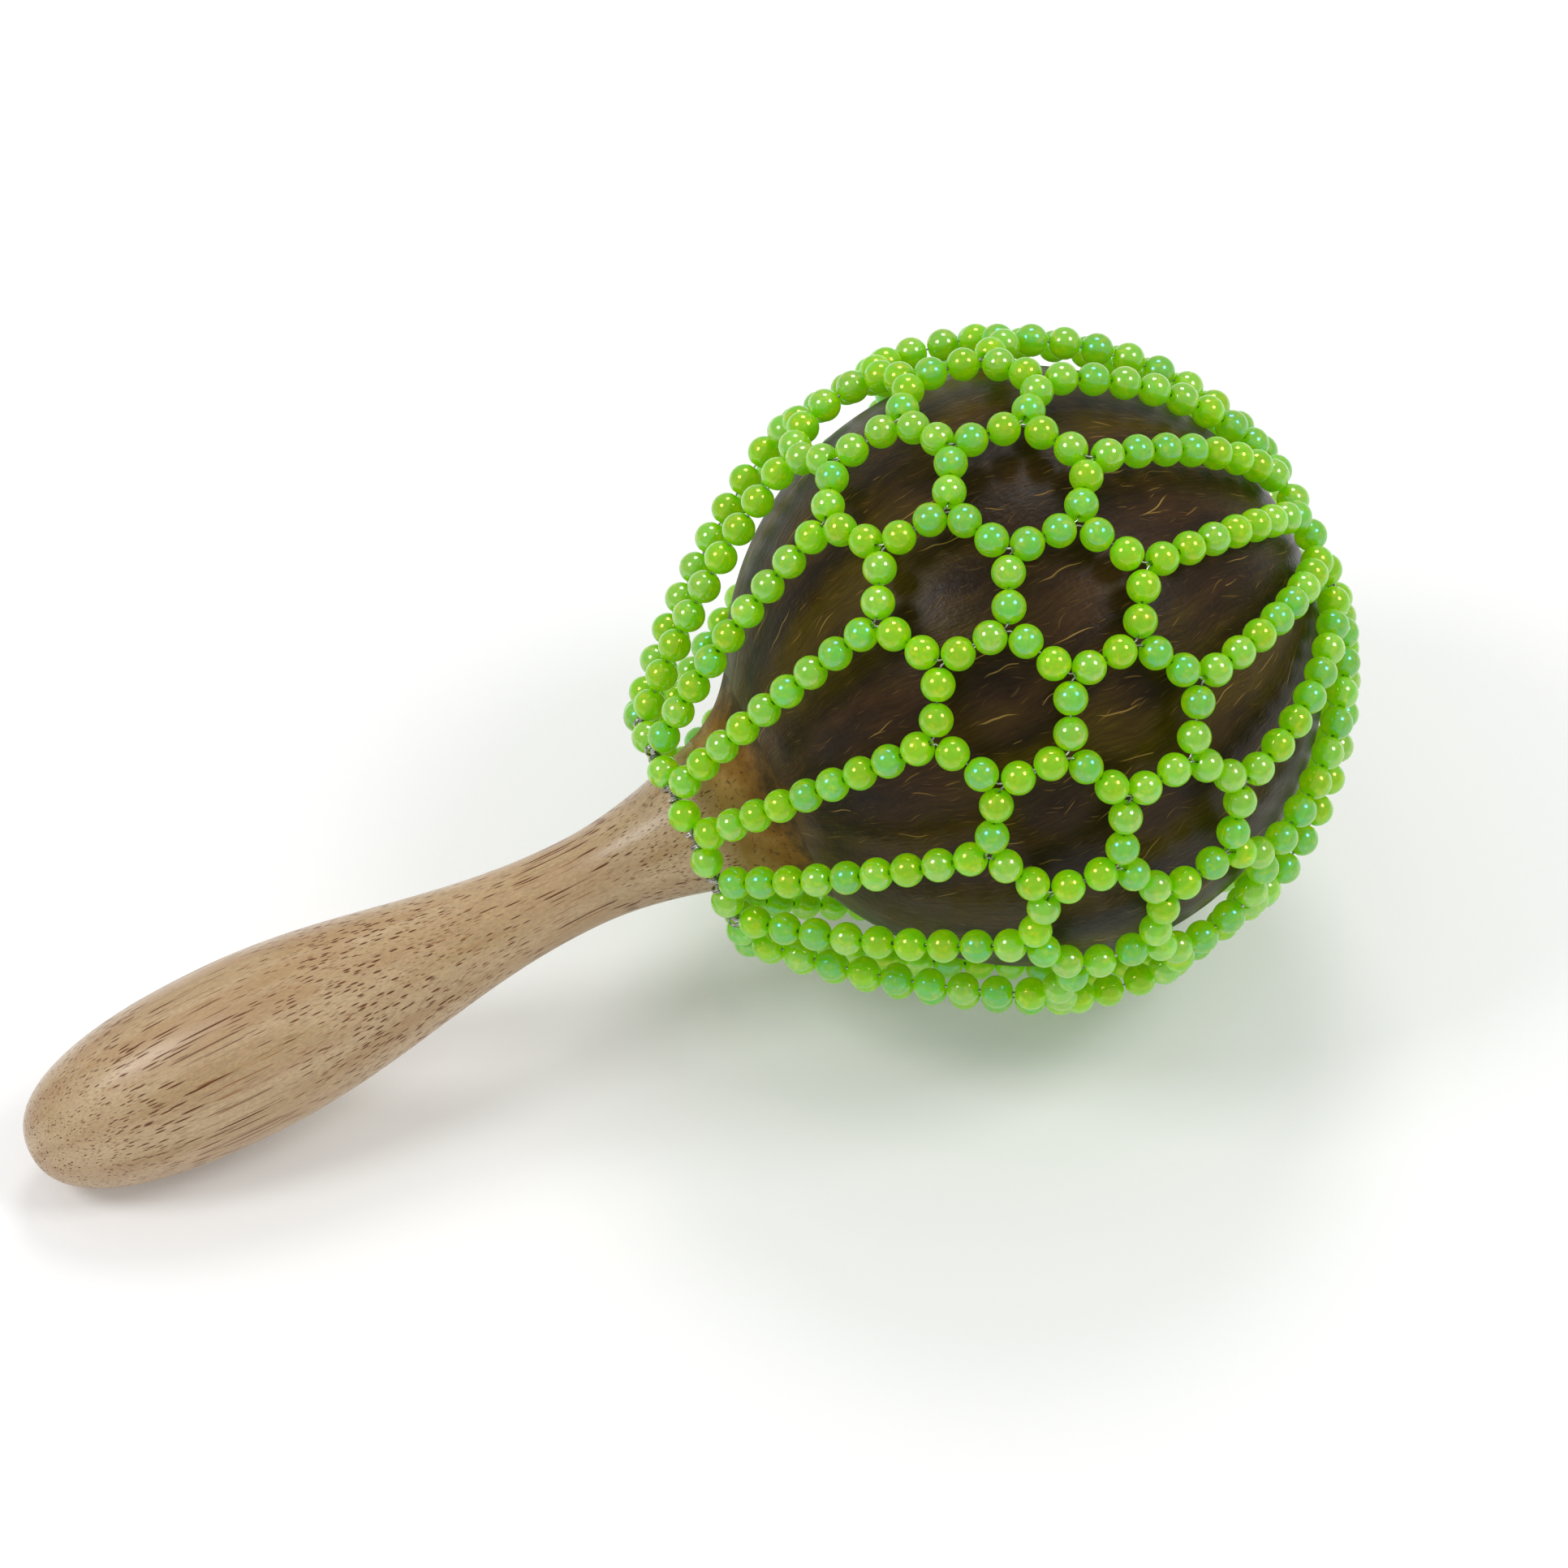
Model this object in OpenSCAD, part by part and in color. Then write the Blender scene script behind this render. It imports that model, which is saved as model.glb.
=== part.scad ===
// Shekere: a hollow coconut shell on a turned handle, inside a loose net of beads on wire.
// The instrument is drawn upright on its own axis, butt at z = 0 and crown at the top,
// and every piece is then laid down as it lies on a table, on its grip and on the net.

/* [Coconut shell] */
// Width of the shell across its middle
shell_d = 105.4; // [98:0.2:110]
// Length of the shell from the neck to the crown
shell_len = 104.4; // [98:0.2:110]
// Thickness of the shell wall
shell_wall = 4; // [3:0.5:6]

/* [Handle] */
// Widest part of the grip
grip_d = 31.9; // [26:0.1:36]
// From the butt to the widest part of the grip
grip_len = 40; // [32:1:50]
// How square the rounded butt is, 2 being an ellipse
butt_power = 2.4; // [2:0.1:3]
// Thinnest part of the handle
waist_d = 16.4; // [14:0.1:20]
// From the widest part of the grip to the waist
taper_len = 66; // [56:1:76]
// Width of the rim of the flare under the shell
flare_d = 28.4; // [26.6:0.1:32]
// From the waist to the rim of the flare
flare_len = 30; // [24:1:36]
// Width of the plain neck inside the filler
neck_d = 26; // [22:0.1:26.4]
// Length of the plain neck, from the rim of the flare to the shoulder
neck_len = 4.7; // [3:0.1:7]
// Width of the tenon that is glued into the shell
tenon_d = 14; // [11:0.1:18]
// Length of the tenon past the shoulder
tenon_len = 12; // [8:0.5:20]
// Chamfer round the end of the tenon
tenon_chamfer = 1; // [0.5:0.1:2]

/* [Neck filler] */
// Width of the filler where it feathers out on the shell
filler_d = 46; // [40:0.5:56]
// How far out the filler's curve bends, as a share of its way to the shell
filler_bend_out = 0.3; // [0.2:0.01:0.4]
// How far along the axis it bends, as a share of that way
filler_bend_along = 0.62; // [0.5:0.01:0.7]

/* [Beads] */
// Diameter of a bead
bead_d = 5.7; // [5:0.05:6]
// Diameter of the hole through a bead
bead_bore_d = 1.5; // [1.4:0.05:1.8]
// Least gap between two beads that follow each other on a wire
bead_gap = 0.04; // [0.02:0.01:0.2]
// Number of beads on each arm and link of the mesh
mesh_beads = 2; // [2:1:3]
// From a junction of the mesh to the middle of the first bead, as a share of the bead
fork_share = 0.605; // [0.6:0.005:0.65]

/* [Net] */
// About how steep the arms of the middle zigzag stand
zigzag_angle = 26; // [25:0.5:28]
// Clearance between the beads and the shell at the crown
crown_clear = 0.3; // [0.3:0.05:1]
// How far the net hangs back towards the handle
net_sag = 2; // [0.5:0.1:3]
// Slack of the net round the middle of the shell
net_slack = 2.5; // [1.6:0.1:3.4]
// From the middle of the net to its middle belt, towards the handle
belt_back = 0.7; // [0:0.1:4]
// From the near end of the shell back to the ring of beads round the neck
collar_back = 11.7; // [9:0.1:15]
// Half of the angle that each lower strand bends through
strand_bow = 10; // [6:0.5:16]

/* [Wire] */
// Diameter of the wire that the net is strung on
wire_d = 0.36; // [0.3:0.02:0.4]
// From the middle of a strand to each of its two wires
wire_side = 0.24; // [0.22:0.01:0.28]
// Diameter of the two ring wires
ring_wire_d = 0.6; // [0.4:0.05:0.7]
// Clearance between a ring wire and what is wrapped round it
wrap_clear = 0.06; // [0.04:0.01:0.1]
// Turns that each wire makes round the collar ring wire
wrap_turns = 1.25; // [1.25:0.25:2.25]
// Rise of one turn along the ring wire
wrap_pitch = 0.8; // [0.78:0.01:0.9]
// Turn that each wire's end makes round the crown ring wire, in degrees
hook_turn = 225; // [180:5:240]
// Gap between two beads of the crown ring, where the strands are tied
crown_tie = 1; // [0.95:0.05:1.6]

/* [Hidden] */

rubberwood = [0.83, 0.66, 0.47];
coconut = [0.25, 0.17, 0.12];
putty = [0.55, 0.40, 0.18];
lime = [0.66, 0.92, 0.24, 0.85];
silver = [0.75, 0.75, 0.76];

$fn = 48;
clear = 0.15;
outline_steps = 24;
wire_sides = 6;
turn_rings = 8;
// Steps of a search by halves, and how far each search looks, in degrees
halvings = 40;
most_span = 40;
most_tilt = 60;
// How far a cut runs past the face that it opens
cut_past = 1;
// Spare room between a ring's beads and the first bead of a strand
ring_spare = 3 * bead_gap;
// Any direction that no wire starts along
first_side = [0.31, 0.23, 0.92];

// Stations along the axis, from the butt
waist_z = grip_len + taper_len;
rim_z = waist_z + flare_len;
shoulder_z = rim_z + neck_len;
shell_z = shoulder_z + 2 * clear + shell_len / 2;
shell_near_z = shell_z - shell_len / 2;

// Outline of the handle as [radius, station] points
function butt_r(z) = grip_d / 2 * pow(1 - pow(1 - z / grip_len, butt_power), 1 / butt_power);
function taper_r(s) = waist_d / 2 + (grip_d - waist_d) / 4 * (1 + cos(180 * s));
function flare_r(s) = waist_d / 2 + (flare_d - waist_d) / 2 * (1 - cos(90 * s));

butt_line = [for (i = [0 : outline_steps])
    let (z = grip_len * (1 - cos(90 * i / outline_steps))) [butt_r(z), z]];
taper_line = [for (i = [1 : outline_steps])
    let (s = i / outline_steps) [taper_r(s), grip_len + taper_len * s]];
flare_line = [for (i = [1 : outline_steps / 2])
    let (s = 2 * i / outline_steps) [flare_r(s), waist_z + flare_len * s]];
tenon_z = shoulder_z + tenon_len;
tenon_line = [
    [neck_d / 2, rim_z], [neck_d / 2, shoulder_z], [tenon_d / 2, shoulder_z],
    [tenon_d / 2, tenon_z - tenon_chamfer], [tenon_d / 2 - tenon_chamfer, tenon_z], [0, tenon_z]
];
handle_line = concat(butt_line, taper_line, flare_line, tenon_line);

module half_oval(r, h, steps) {
    polygon([for (i = [0 : steps])
        let (a = 180 * i / steps - 90) [r * cos(a), shell_z + h * sin(a)]]);
}

module shell_oval() {
    half_oval(shell_d / 2, shell_len / 2, 4 * outline_steps);
}

// Outer line of the filler, a hollow curve from the rim of the flare to the shell
filler_rim = [flare_d / 2, rim_z];
filler_end = [filler_d / 2, shell_z - shell_len / 2 * sqrt(1 - pow(filler_d / shell_d, 2))];
filler_way = filler_end - filler_rim;
filler_bend = filler_rim + [filler_bend_out * filler_way[0], filler_bend_along * filler_way[1]];
function filler_at(s) =
    pow(1 - s, 2) * filler_rim + 2 * s * (1 - s) * filler_bend + s * s * filler_end;

// The net: the middles of its beads lie on an oval of its own, in [radius, station] points
bead_r = bead_d / 2;
pitch = bead_d + bead_gap;
fork = fork_share * bead_d;
arm = 2 * fork + (mesh_beads - 1) * pitch;
net_r = shell_d / 2 + bead_r + crown_clear + net_slack;
net_h = shell_len / 2 + bead_r + crown_clear + net_sag;
net_z = shell_z - net_sag;
columns = round(90 / asin(arm * cos(zigzag_angle) / (2 * net_r)));
half = 180 / columns;

function strand_name(kind, k) = str(kind, "_strand_", k < 9 ? "0" : "", k + 1);

function on_net(lat) = [net_r * cos(lat), net_z + net_h * sin(lat)];
function spot(p, az) = [p[0] * cos(az), p[0] * sin(az), p[1]];
// An arm is as long as a link, or longer where the beads of two arms would meet at their fork
function fork_room(r) = (mesh_beads - 1) * pitch / (1 - pitch / (r * sin(half)));
function arm_for(lat, end, turn) =
    turn == 0 ? arm : max(arm, fork_room(min(on_net(lat)[0], on_net(end)[0])));
function too_far(lat, end, turn) =
    norm(spot(on_net(end), turn) - spot(on_net(lat), 0)) > arm_for(lat, end, turn);
function span_for(lat, turn, way, lo, hi, n) =
    n == 0 ? lo
    : too_far(lat, lat + way * (lo + hi) / 2, turn)
        ? span_for(lat, turn, way, lo, (lo + hi) / 2, n - 1)
        : span_for(lat, turn, way, (lo + hi) / 2, hi, n - 1);
function next_lat(lat, turn, way) = lat + way * span_for(lat, turn, way, 0, most_span, halvings);

lat_3 = -asin(belt_back / net_h);
lat_4 = next_lat(lat_3, half, 1);
lat_5 = next_lat(lat_4, 0, 1);
lat_6 = next_lat(lat_5, half, 1);
lat_2 = next_lat(lat_3, 0, -1);
lat_1 = next_lat(lat_2, half, -1);
fork_lats = [lat_1, lat_2, lat_3, lat_4, lat_5, lat_6];
forks = [for (lat = fork_lats) on_net(lat)];

// The two rings
wire_r = wire_d / 2;
wrap_r = (ring_wire_d / 2 + wrap_clear + wire_r) / cos(180 / turn_rings);
wrap_half = wire_side + wrap_turns * wrap_pitch + wire_r;
collar_ring = [(bead_r + wrap_half + wrap_clear) / sin(half), shell_near_z - collar_back];
crown_ring_r = (bead_r + crown_tie / 2) / sin(half);
crown_ring = [crown_ring_r, net_z + net_h * sqrt(1 - pow(crown_ring_r / net_r, 2))];

// A strand is an arc in the plane of its column: [start, along, outward, radius, half angle]
function arc(from, to, bow) =
    let (along = (to - from) / norm(to - from))
    [from, along, [along[1], -along[0]], norm(to - from) / (2 * sin(bow)), bow];
function arc_len(a) = a[3] * a[4] * PI / 90;
function arc_lean(a, s) = a[4] - s / a[3] * 180 / PI;
function arc_at(a, s) =
    let (lean = arc_lean(a, s))
    a[0] + a[3] * (sin(a[4]) - sin(lean)) * a[1] + a[3] * (cos(lean) - cos(a[4])) * a[2];
function arc_way(a, s) = cos(arc_lean(a, s)) * a[1] + sin(arc_lean(a, s)) * a[2];

lower_arc = arc(collar_ring, forks[0], strand_bow);
upper_chord = norm(crown_ring - forks[5]);
upper_arc = arc(forks[5], crown_ring, asin(upper_chord / (net_r + net_h)));

// From each ring wire to the first bead of a strand, clear of the ring's own beads
collar_stand = sqrt(pow(pitch, 2) - pow(collar_ring[0] * sin(half), 2)) + ring_spare;
lower_stand = max(collar_stand, wrap_r + wire_r + bead_r + bead_gap);
crown_stand = sqrt(pow(pitch, 2) - pow(crown_ring[0] * sin(half), 2)) + ring_spare;
lower_run = arc_len(lower_arc) - lower_stand - fork;
upper_run = arc_len(upper_arc) - fork - crown_stand;
lower_count = floor(lower_run / pitch) + 1;
upper_count = floor(upper_run / pitch) + 1;
lower_places =
    [for (i = [0 : lower_count - 1]) lower_stand + lower_run * i / (lower_count - 1)];
upper_places = [for (i = [0 : upper_count - 1]) fork + upper_run * i / (upper_count - 1)];

// Beads as [middle, direction of the hole]
function strand_beads(a, places, az) =
    [for (s = places) [spot(arc_at(a, s), az), spot(arc_way(a, s), az)]];
function arm_beads(p, q) =
    [for (i = [0 : mesh_beads - 1])
        [(p + q) / 2 + (i - (mesh_beads - 1) / 2) * pitch * unit(q - p), q - p]];
function column_az(k) = 2 * half * k;
function zigzag_beads(low, shift) =
    [for (k = [0 : columns - 1], side = [-1, 1]) let (az = column_az(k) + shift)
        each arm_beads(spot(forks[low], az), spot(forks[low + 1], az + side * half))];
function link_beads(low, shift) =
    [for (k = [0 : columns - 1]) let (az = column_az(k) + shift)
        each arm_beads(spot(forks[low], az), spot(forks[low + 1], az))];
function ring_beads(ring, shift) =
    [for (k = [0 : columns - 1])
        let (az = column_az(k) + shift) [spot(ring, az), [-sin(az), cos(az), 0]]];

lower_beads =
    [for (k = [0 : columns - 1]) strand_beads(lower_arc, lower_places, column_az(k))];
upper_beads =
    [for (k = [0 : columns - 1]) strand_beads(upper_arc, upper_places, column_az(k) + half)];
belt_beads = concat(zigzag_beads(0, 0), zigzag_beads(2, half), zigzag_beads(4, 0));
joining_beads = concat(link_beads(1, half), link_beads(3, 0));
rings_beads = concat(ring_beads(collar_ring, half), ring_beads(crown_ring, 0));
strands_beads = [for (row = concat(lower_beads, upper_beads)) each row];
all_beads = concat(strands_beads, belt_beads, joining_beads, rings_beads);

// How the instrument lies: tilted until the grip and the net touch the table together
function lowest(points, tilt) = min([for (p = points) p[2] * sin(tilt) - p[0] * cos(tilt)]);
grip_points = [for (p = handle_line) [p[0], 0, p[1]]];
bead_points = [for (b = all_beads) b[0]];
function lift_gap(tilt) = lowest(bead_points, tilt) - bead_r - lowest(grip_points, tilt);
function tilt_for(lo, hi, n) =
    n == 0 ? lo
    : lift_gap((lo + hi) / 2) > 0
        ? tilt_for(lo, (lo + hi) / 2, n - 1)
        : tilt_for((lo + hi) / 2, hi, n - 1);
tilt = tilt_for(0, most_tilt, halvings);
lift = bead_r - lowest(bead_points, tilt);

module lying() {
    translate([-shell_z * cos(tilt), 0, lift]) rotate([0, 90 - tilt, 0]) children();
}

// One wire runs from the collar to the crown, on its own side (-1 or 1) of column k
function side_step(az, off) = [-sin(az) * off, cos(az) * off, 0];
function wrap_at(ring, ring_az, off, a) =
    spot(ring + wrap_r * [cos(a), sin(a)], ring_az + off / ring[0] * 180 / PI);
wrap_rings = ceil(wrap_turns * turn_rings);
function collar_wrap(az, side) =
    let (way = arc_way(lower_arc, 0), leave = atan2(way[1], way[0]) - 90)
    [for (i = [wrap_rings : -1 : 0])
        let (turns = wrap_turns * i / wrap_rings)
        wrap_at(collar_ring, az, side * (wire_side + turns * wrap_pitch), leave - 360 * turns)];
hook_rings = ceil(hook_turn * turn_rings / 360);
function crown_hook(az, off) =
    let (way = arc_way(upper_arc, arc_len(upper_arc)), meet = atan2(way[1], way[0]) - 90)
    [for (i = [0 : hook_rings])
        wrap_at(crown_ring, az, off, meet + hook_turn * i / hook_rings)];
function every_other(list) =
    [for (i = [0 : len(list) - 1]) if (i % 2 == 0 || i == len(list) - 1) list[i]];
function wire_path(k, side) =
    let (az = column_az(k), next = az + side * half, off = side * wire_side)
    concat(
        collar_wrap(az, side),
        [for (s = every_other(lower_places)) spot(arc_at(lower_arc, s), az) + side_step(az, off)],
        [spot(forks[0], az) + side_step(az, off)],
        [spot(forks[1], next) - side_step(next, off), spot(forks[2], next) - side_step(next, off)],
        [spot(forks[3], az) + side_step(az, off), spot(forks[4], az) + side_step(az, off)],
        [spot(forks[5], next) - side_step(next, off)],
        [for (s = every_other(upper_places)) spot(arc_at(upper_arc, s), next) - side_step(next, off)],
        crown_hook(next, -off)
    );

// Least gap between the turns of one wrap, measured on its points
function far_pairs(p) =
    [for (i = [0 : len(p) - 1], j = [0 : len(p) - 1])
        if (j - i >= turn_rings / 2) norm(p[i] - p[j])];
echo(least_wrap_gap = min(far_pairs(collar_wrap(0, 1))) - wire_d);

// A round tube swept along points, its rings carried along without twist
function unit(v) = v / norm(v);
function step_way(p, i) = i < 0 || i > len(p) - 2 ? [0, 0, 0] : unit(p[i + 1] - p[i]);
function ways(p) = [for (i = [0 : len(p) - 1]) unit(step_way(p, i) + step_way(p, i - 1))];
function square_to(n, way) = unit(n - (n * way) * way);
function normals(w) =
    [for (i = 0, n = square_to(first_side, w[0]);
        i < len(w);
        i = i + 1, n = square_to(n, w[min(i, len(w) - 1)])) n];

module tube(p, r) {
    w = ways(p);
    n = normals(w);
    rings = len(p);
    points = [for (i = [0 : rings - 1], j = [0 : wire_sides - 1])
        let (a = 360 * j / wire_sides) p[i] + r * (cos(a) * n[i] + sin(a) * cross(w[i], n[i]))];
    walls = [for (i = [0 : rings - 2], j = [0 : wire_sides - 1])
        let (a = i * wire_sides + j, b = i * wire_sides + (j + 1) % wire_sides)
        each [[a, a + wire_sides, b], [b, a + wire_sides, b + wire_sides]]];
    ends = [for (j = [1 : wire_sides - 2])
        each [[0, j, j + 1], [0, j + 1, j] + [1, 1, 1] * (rings - 1) * wire_sides]];
    polyhedron(points, concat(walls, ends));
}

module bead(place) {
    way = unit(place[1]);
    translate(place[0]) rotate([0, acos(way[2]), atan2(way[1], way[0])]) difference() {
        sphere(d = bead_d);
        cylinder(d = bead_bore_d, h = 2 * bead_d, center = true);
    }
}

module beads(places) {
    color(lime) lying() for (place = places) bead(place);
}

module wires(side) {
    color(silver) lying() for (k = [0 : columns - 1]) tube(wire_path(k, side), wire_r);
}

module ring_wire(ring) {
    color(silver) lying() rotate_extrude($fn = 96) translate(ring) circle(d = ring_wire_d);
}

module handle() {
    color(rubberwood) lying() rotate_extrude($fn = 96) polygon(concat([[0, 0]], handle_line));
}

module coconut_shell() {
    color(coconut) lying() rotate_extrude($fn = 128) difference() {
        shell_oval();
        half_oval(shell_d / 2 - shell_wall, shell_len / 2 - shell_wall, 4 * outline_steps);
        translate([0, shell_near_z - cut_past]) square([tenon_d / 2 + clear, shell_len / 2]);
    }
}

module neck_filler() {
    line = [for (i = [0 : outline_steps / 2]) filler_at(2 * i / outline_steps)];
    inner = tenon_d / 2 + clear;
    color(putty) lying() rotate_extrude($fn = 96) difference() {
        polygon(concat([[inner, rim_z]], line, [[inner, filler_end[1]]]));
        shell_oval();
        polygon(concat([[0, 0]], handle_line));
    }
}

handle();
coconut_shell();
neck_filler();
ring_wire(collar_ring);  // collar_ring_wire
ring_wire(crown_ring);  // crown_ring_wire
wires(-1);  // left_wires
wires(1);  // right_wires
beads(ring_beads(collar_ring, half));  // collar_beads
beads(zigzag_beads(0, 0));  // lower_zigzag
beads(link_beads(1, half));  // lower_links
beads(zigzag_beads(2, half));  // middle_zigzag
beads(link_beads(3, 0));  // upper_links
beads(zigzag_beads(4, 0));  // upper_zigzag
beads(ring_beads(crown_ring, 0));  // crown_beads
for (k = [0 : columns - 1]) {
    beads(lower_beads[k]);
    beads(upper_beads[k]);
}
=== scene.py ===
"""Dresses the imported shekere: a turned handle, a coconut shell and a loose net of beads on wire.

Every piece is modelled upright on the instrument's own axis, with the butt at station 0, and is
then laid down as the instrument lies on a table, on its grip and on its net. Sizes are in metres,
those of the finishes in millimetres, and angles are in radians.
"""

import logging
import math
import random
from abc import ABC, abstractmethod
from collections.abc import Callable
from dataclasses import asdict, dataclass
from enum import Enum
from functools import cached_property
from typing import Any

import bmesh
import bpy
import numpy as np
from mathutils import Matrix, Quaternion, Vector, noise


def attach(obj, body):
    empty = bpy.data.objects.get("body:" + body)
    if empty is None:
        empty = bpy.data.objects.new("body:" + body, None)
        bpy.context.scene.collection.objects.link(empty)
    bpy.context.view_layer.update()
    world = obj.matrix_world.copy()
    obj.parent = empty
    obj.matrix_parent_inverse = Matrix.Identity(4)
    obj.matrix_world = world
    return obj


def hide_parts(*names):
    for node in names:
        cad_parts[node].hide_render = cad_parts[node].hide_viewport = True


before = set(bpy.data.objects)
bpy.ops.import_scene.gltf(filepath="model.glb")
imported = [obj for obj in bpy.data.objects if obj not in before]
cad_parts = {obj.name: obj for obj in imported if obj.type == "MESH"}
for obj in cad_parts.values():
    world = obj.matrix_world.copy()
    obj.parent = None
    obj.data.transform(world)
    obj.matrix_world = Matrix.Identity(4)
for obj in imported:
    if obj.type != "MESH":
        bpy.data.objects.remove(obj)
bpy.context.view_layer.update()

LOG = logging.getLogger("shekere")
QUARTER = math.pi / 2
FULL = 2 * math.pi
TO_MM = 1000.0

# The steps of a search by halves, and how far each search looks
HALVINGS = 40
MOST_TILT = math.radians(60)
MOST_SPAN = math.radians(40)

# Points closer than this are one
SAME_POINT = 1e-7

# Any direction that no wire starts along
FIRST_SIDE = np.array([0.31, 0.23, 0.92])

# The smallest streak's share of its layer's sizes, and the share of a streak that is solid
LEAST_STREAK = 0.45
STREAK_CORE = 0.55

# The slant of hairlines, and the heights of the noise at which patches and hairlines start and are full
HAIR_SLANT = 0.6
PATCH_CUT = (0.35, 0.65)
HAIR_CUT = (0.62, 0.75)

Point = np.ndarray
Bead = tuple[Point, Point]
Range = tuple[float, float]
Triple = tuple[float, float, float]
Colour = tuple[float, float, float, float]
Inputs = dict[Any, Any]
Socket = bpy.types.NodeSocket
Material = bpy.types.Material
Piece = bpy.types.Object


class Body(Enum):
    """The bodies of the instrument that its pieces ride on."""

    SHELL = "shell_and_handle"
    RINGS = "net_rings"
    NET = "bead_net"


class Slot(Enum):
    """The finishes that the instrument's record names."""

    WOOD = "handle_wood"
    COCONUT = "coconut"
    FILLER = "neck_filler"
    BEADS = "lime_beads"
    WIRE = "steel_wire"


class Shimmer(Enum):
    """The colours that a bead's thin coat shimmers in, by the film's thickness in nanometres."""

    TEAL = 190.0
    GOLD = 262.0
    PEARL = 85.0


def tint(red: int, green: int, blue: int) -> Colour:
    """A colour as a display shows it, made linear for the shaders.

    Args:
        red: From 0 to 255.
        green: From 0 to 255.
        blue: From 0 to 255.

    Returns:
        The linear colour, opaque.
    """
    shown = [value / 255 for value in (red, green, blue)]
    linear = [v / 12.92 if v <= 0.04045 else ((v + 0.055) / 1.055) ** 2.4 for v in shown]
    return (linear[0], linear[1], linear[2], 1.0)


# The instrument's own axis, and how it lies


def unit(v: Point) -> Point:
    """The direction of v."""
    return v / np.linalg.norm(v)


def spot(p: Point, az: float) -> Point:
    """A [radius, station] point turned to the azimuth az round the axis."""
    return np.array([p[0] * math.cos(az), p[0] * math.sin(az), p[1]])


def last_before(most: float, too_far: Callable[[float], bool]) -> float:
    """The last value from 0 before a test turns true, found by halves.

    Args:
        most: A value at which the test is true.
        too_far: The test.

    Returns:
        The value.
    """
    low, high = 0.0, most
    for _ in range(HALVINGS):
        middle = (low + high) / 2
        if too_far(middle):
            high = middle
        else:
            low = middle
    return low


@dataclass
class Arc:
    """A strand's arc in the plane of its column, in [radius, station] points."""

    start: Point
    along: Point
    outward: Point
    radius: float
    bow: float

    @classmethod
    def between(cls, start: Point, end: Point, bow: float) -> "Arc":
        """The arc from start to end that bulges outwards.

        Args:
            start: Its first point.
            end: Its last point.
            bow: Half of the angle that it bends through.

        Returns:
            The arc.
        """
        along = unit(end - start)
        radius = float(np.linalg.norm(end - start)) / (2 * math.sin(bow))
        return cls(start, along, np.array([along[1], -along[0]]), radius, bow)

    @property
    def length(self) -> float:
        """Its length."""
        return 2 * self.radius * self.bow

    def at(self, s: float) -> Point:
        """A point of the arc.

        Args:
            s: How far along the arc it lies.

        Returns:
            The point.
        """
        lean = self.bow - s / self.radius
        run = self.radius * (math.sin(self.bow) - math.sin(lean))
        rise = self.radius * (math.cos(lean) - math.cos(self.bow))
        return self.start + run * self.along + rise * self.outward

    def way(self, s: float) -> Point:
        """The direction of the arc at s."""
        lean = self.bow - s / self.radius
        return math.cos(lean) * self.along + math.sin(lean) * self.outward


@dataclass
class Lie:
    """How the upright instrument is laid on the table."""

    tilt: float
    lift: float
    shell_z: float

    @staticmethod
    def lowest(points: Point, tilt: float) -> float:
        """The least height of the points at a tilt, before the lift."""
        return float(np.min(points[:, 2] * math.sin(tilt) - points[:, 0] * math.cos(tilt)))

    @classmethod
    def settle(cls, grip: Point, beads: Point, bead_r: float, shell_z: float) -> "Lie":
        """Tilts the instrument until its grip and its net touch the table together.

        Args:
            grip: Points down the underside of the handle.
            beads: The middles of the beads.
            bead_r: The radius of a bead.
            shell_z: The station of the middle of the shell.

        Returns:
            How it lies.
        """
        def grip_is_lower(tilt: float) -> bool:
            """Whether the grip comes down lower than the net at a tilt."""
            return cls.lowest(beads, tilt) - bead_r > cls.lowest(grip, tilt)

        tilt = last_before(MOST_TILT, grip_is_lower)
        return cls(tilt, bead_r - cls.lowest(beads, tilt), shell_z)

    @property
    def corner(self) -> Triple:
        """Where the butt's pole lies."""
        return (-self.shell_z * math.cos(self.tilt), 0.0, self.lift)

    @property
    def turn(self) -> Triple:
        """The turn from upright to lying, as Euler angles."""
        return (0.0, QUARTER - self.tilt, 0.0)

    def laid(self, points: Point) -> Point:
        """The upright points as they lie on the table."""
        turned = np.array(Matrix.Rotation(self.turn[1], 3, "Y"))
        return points @ turned.T + np.array(self.corner)


# Forms: turned and swept surfaces of quads


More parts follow.
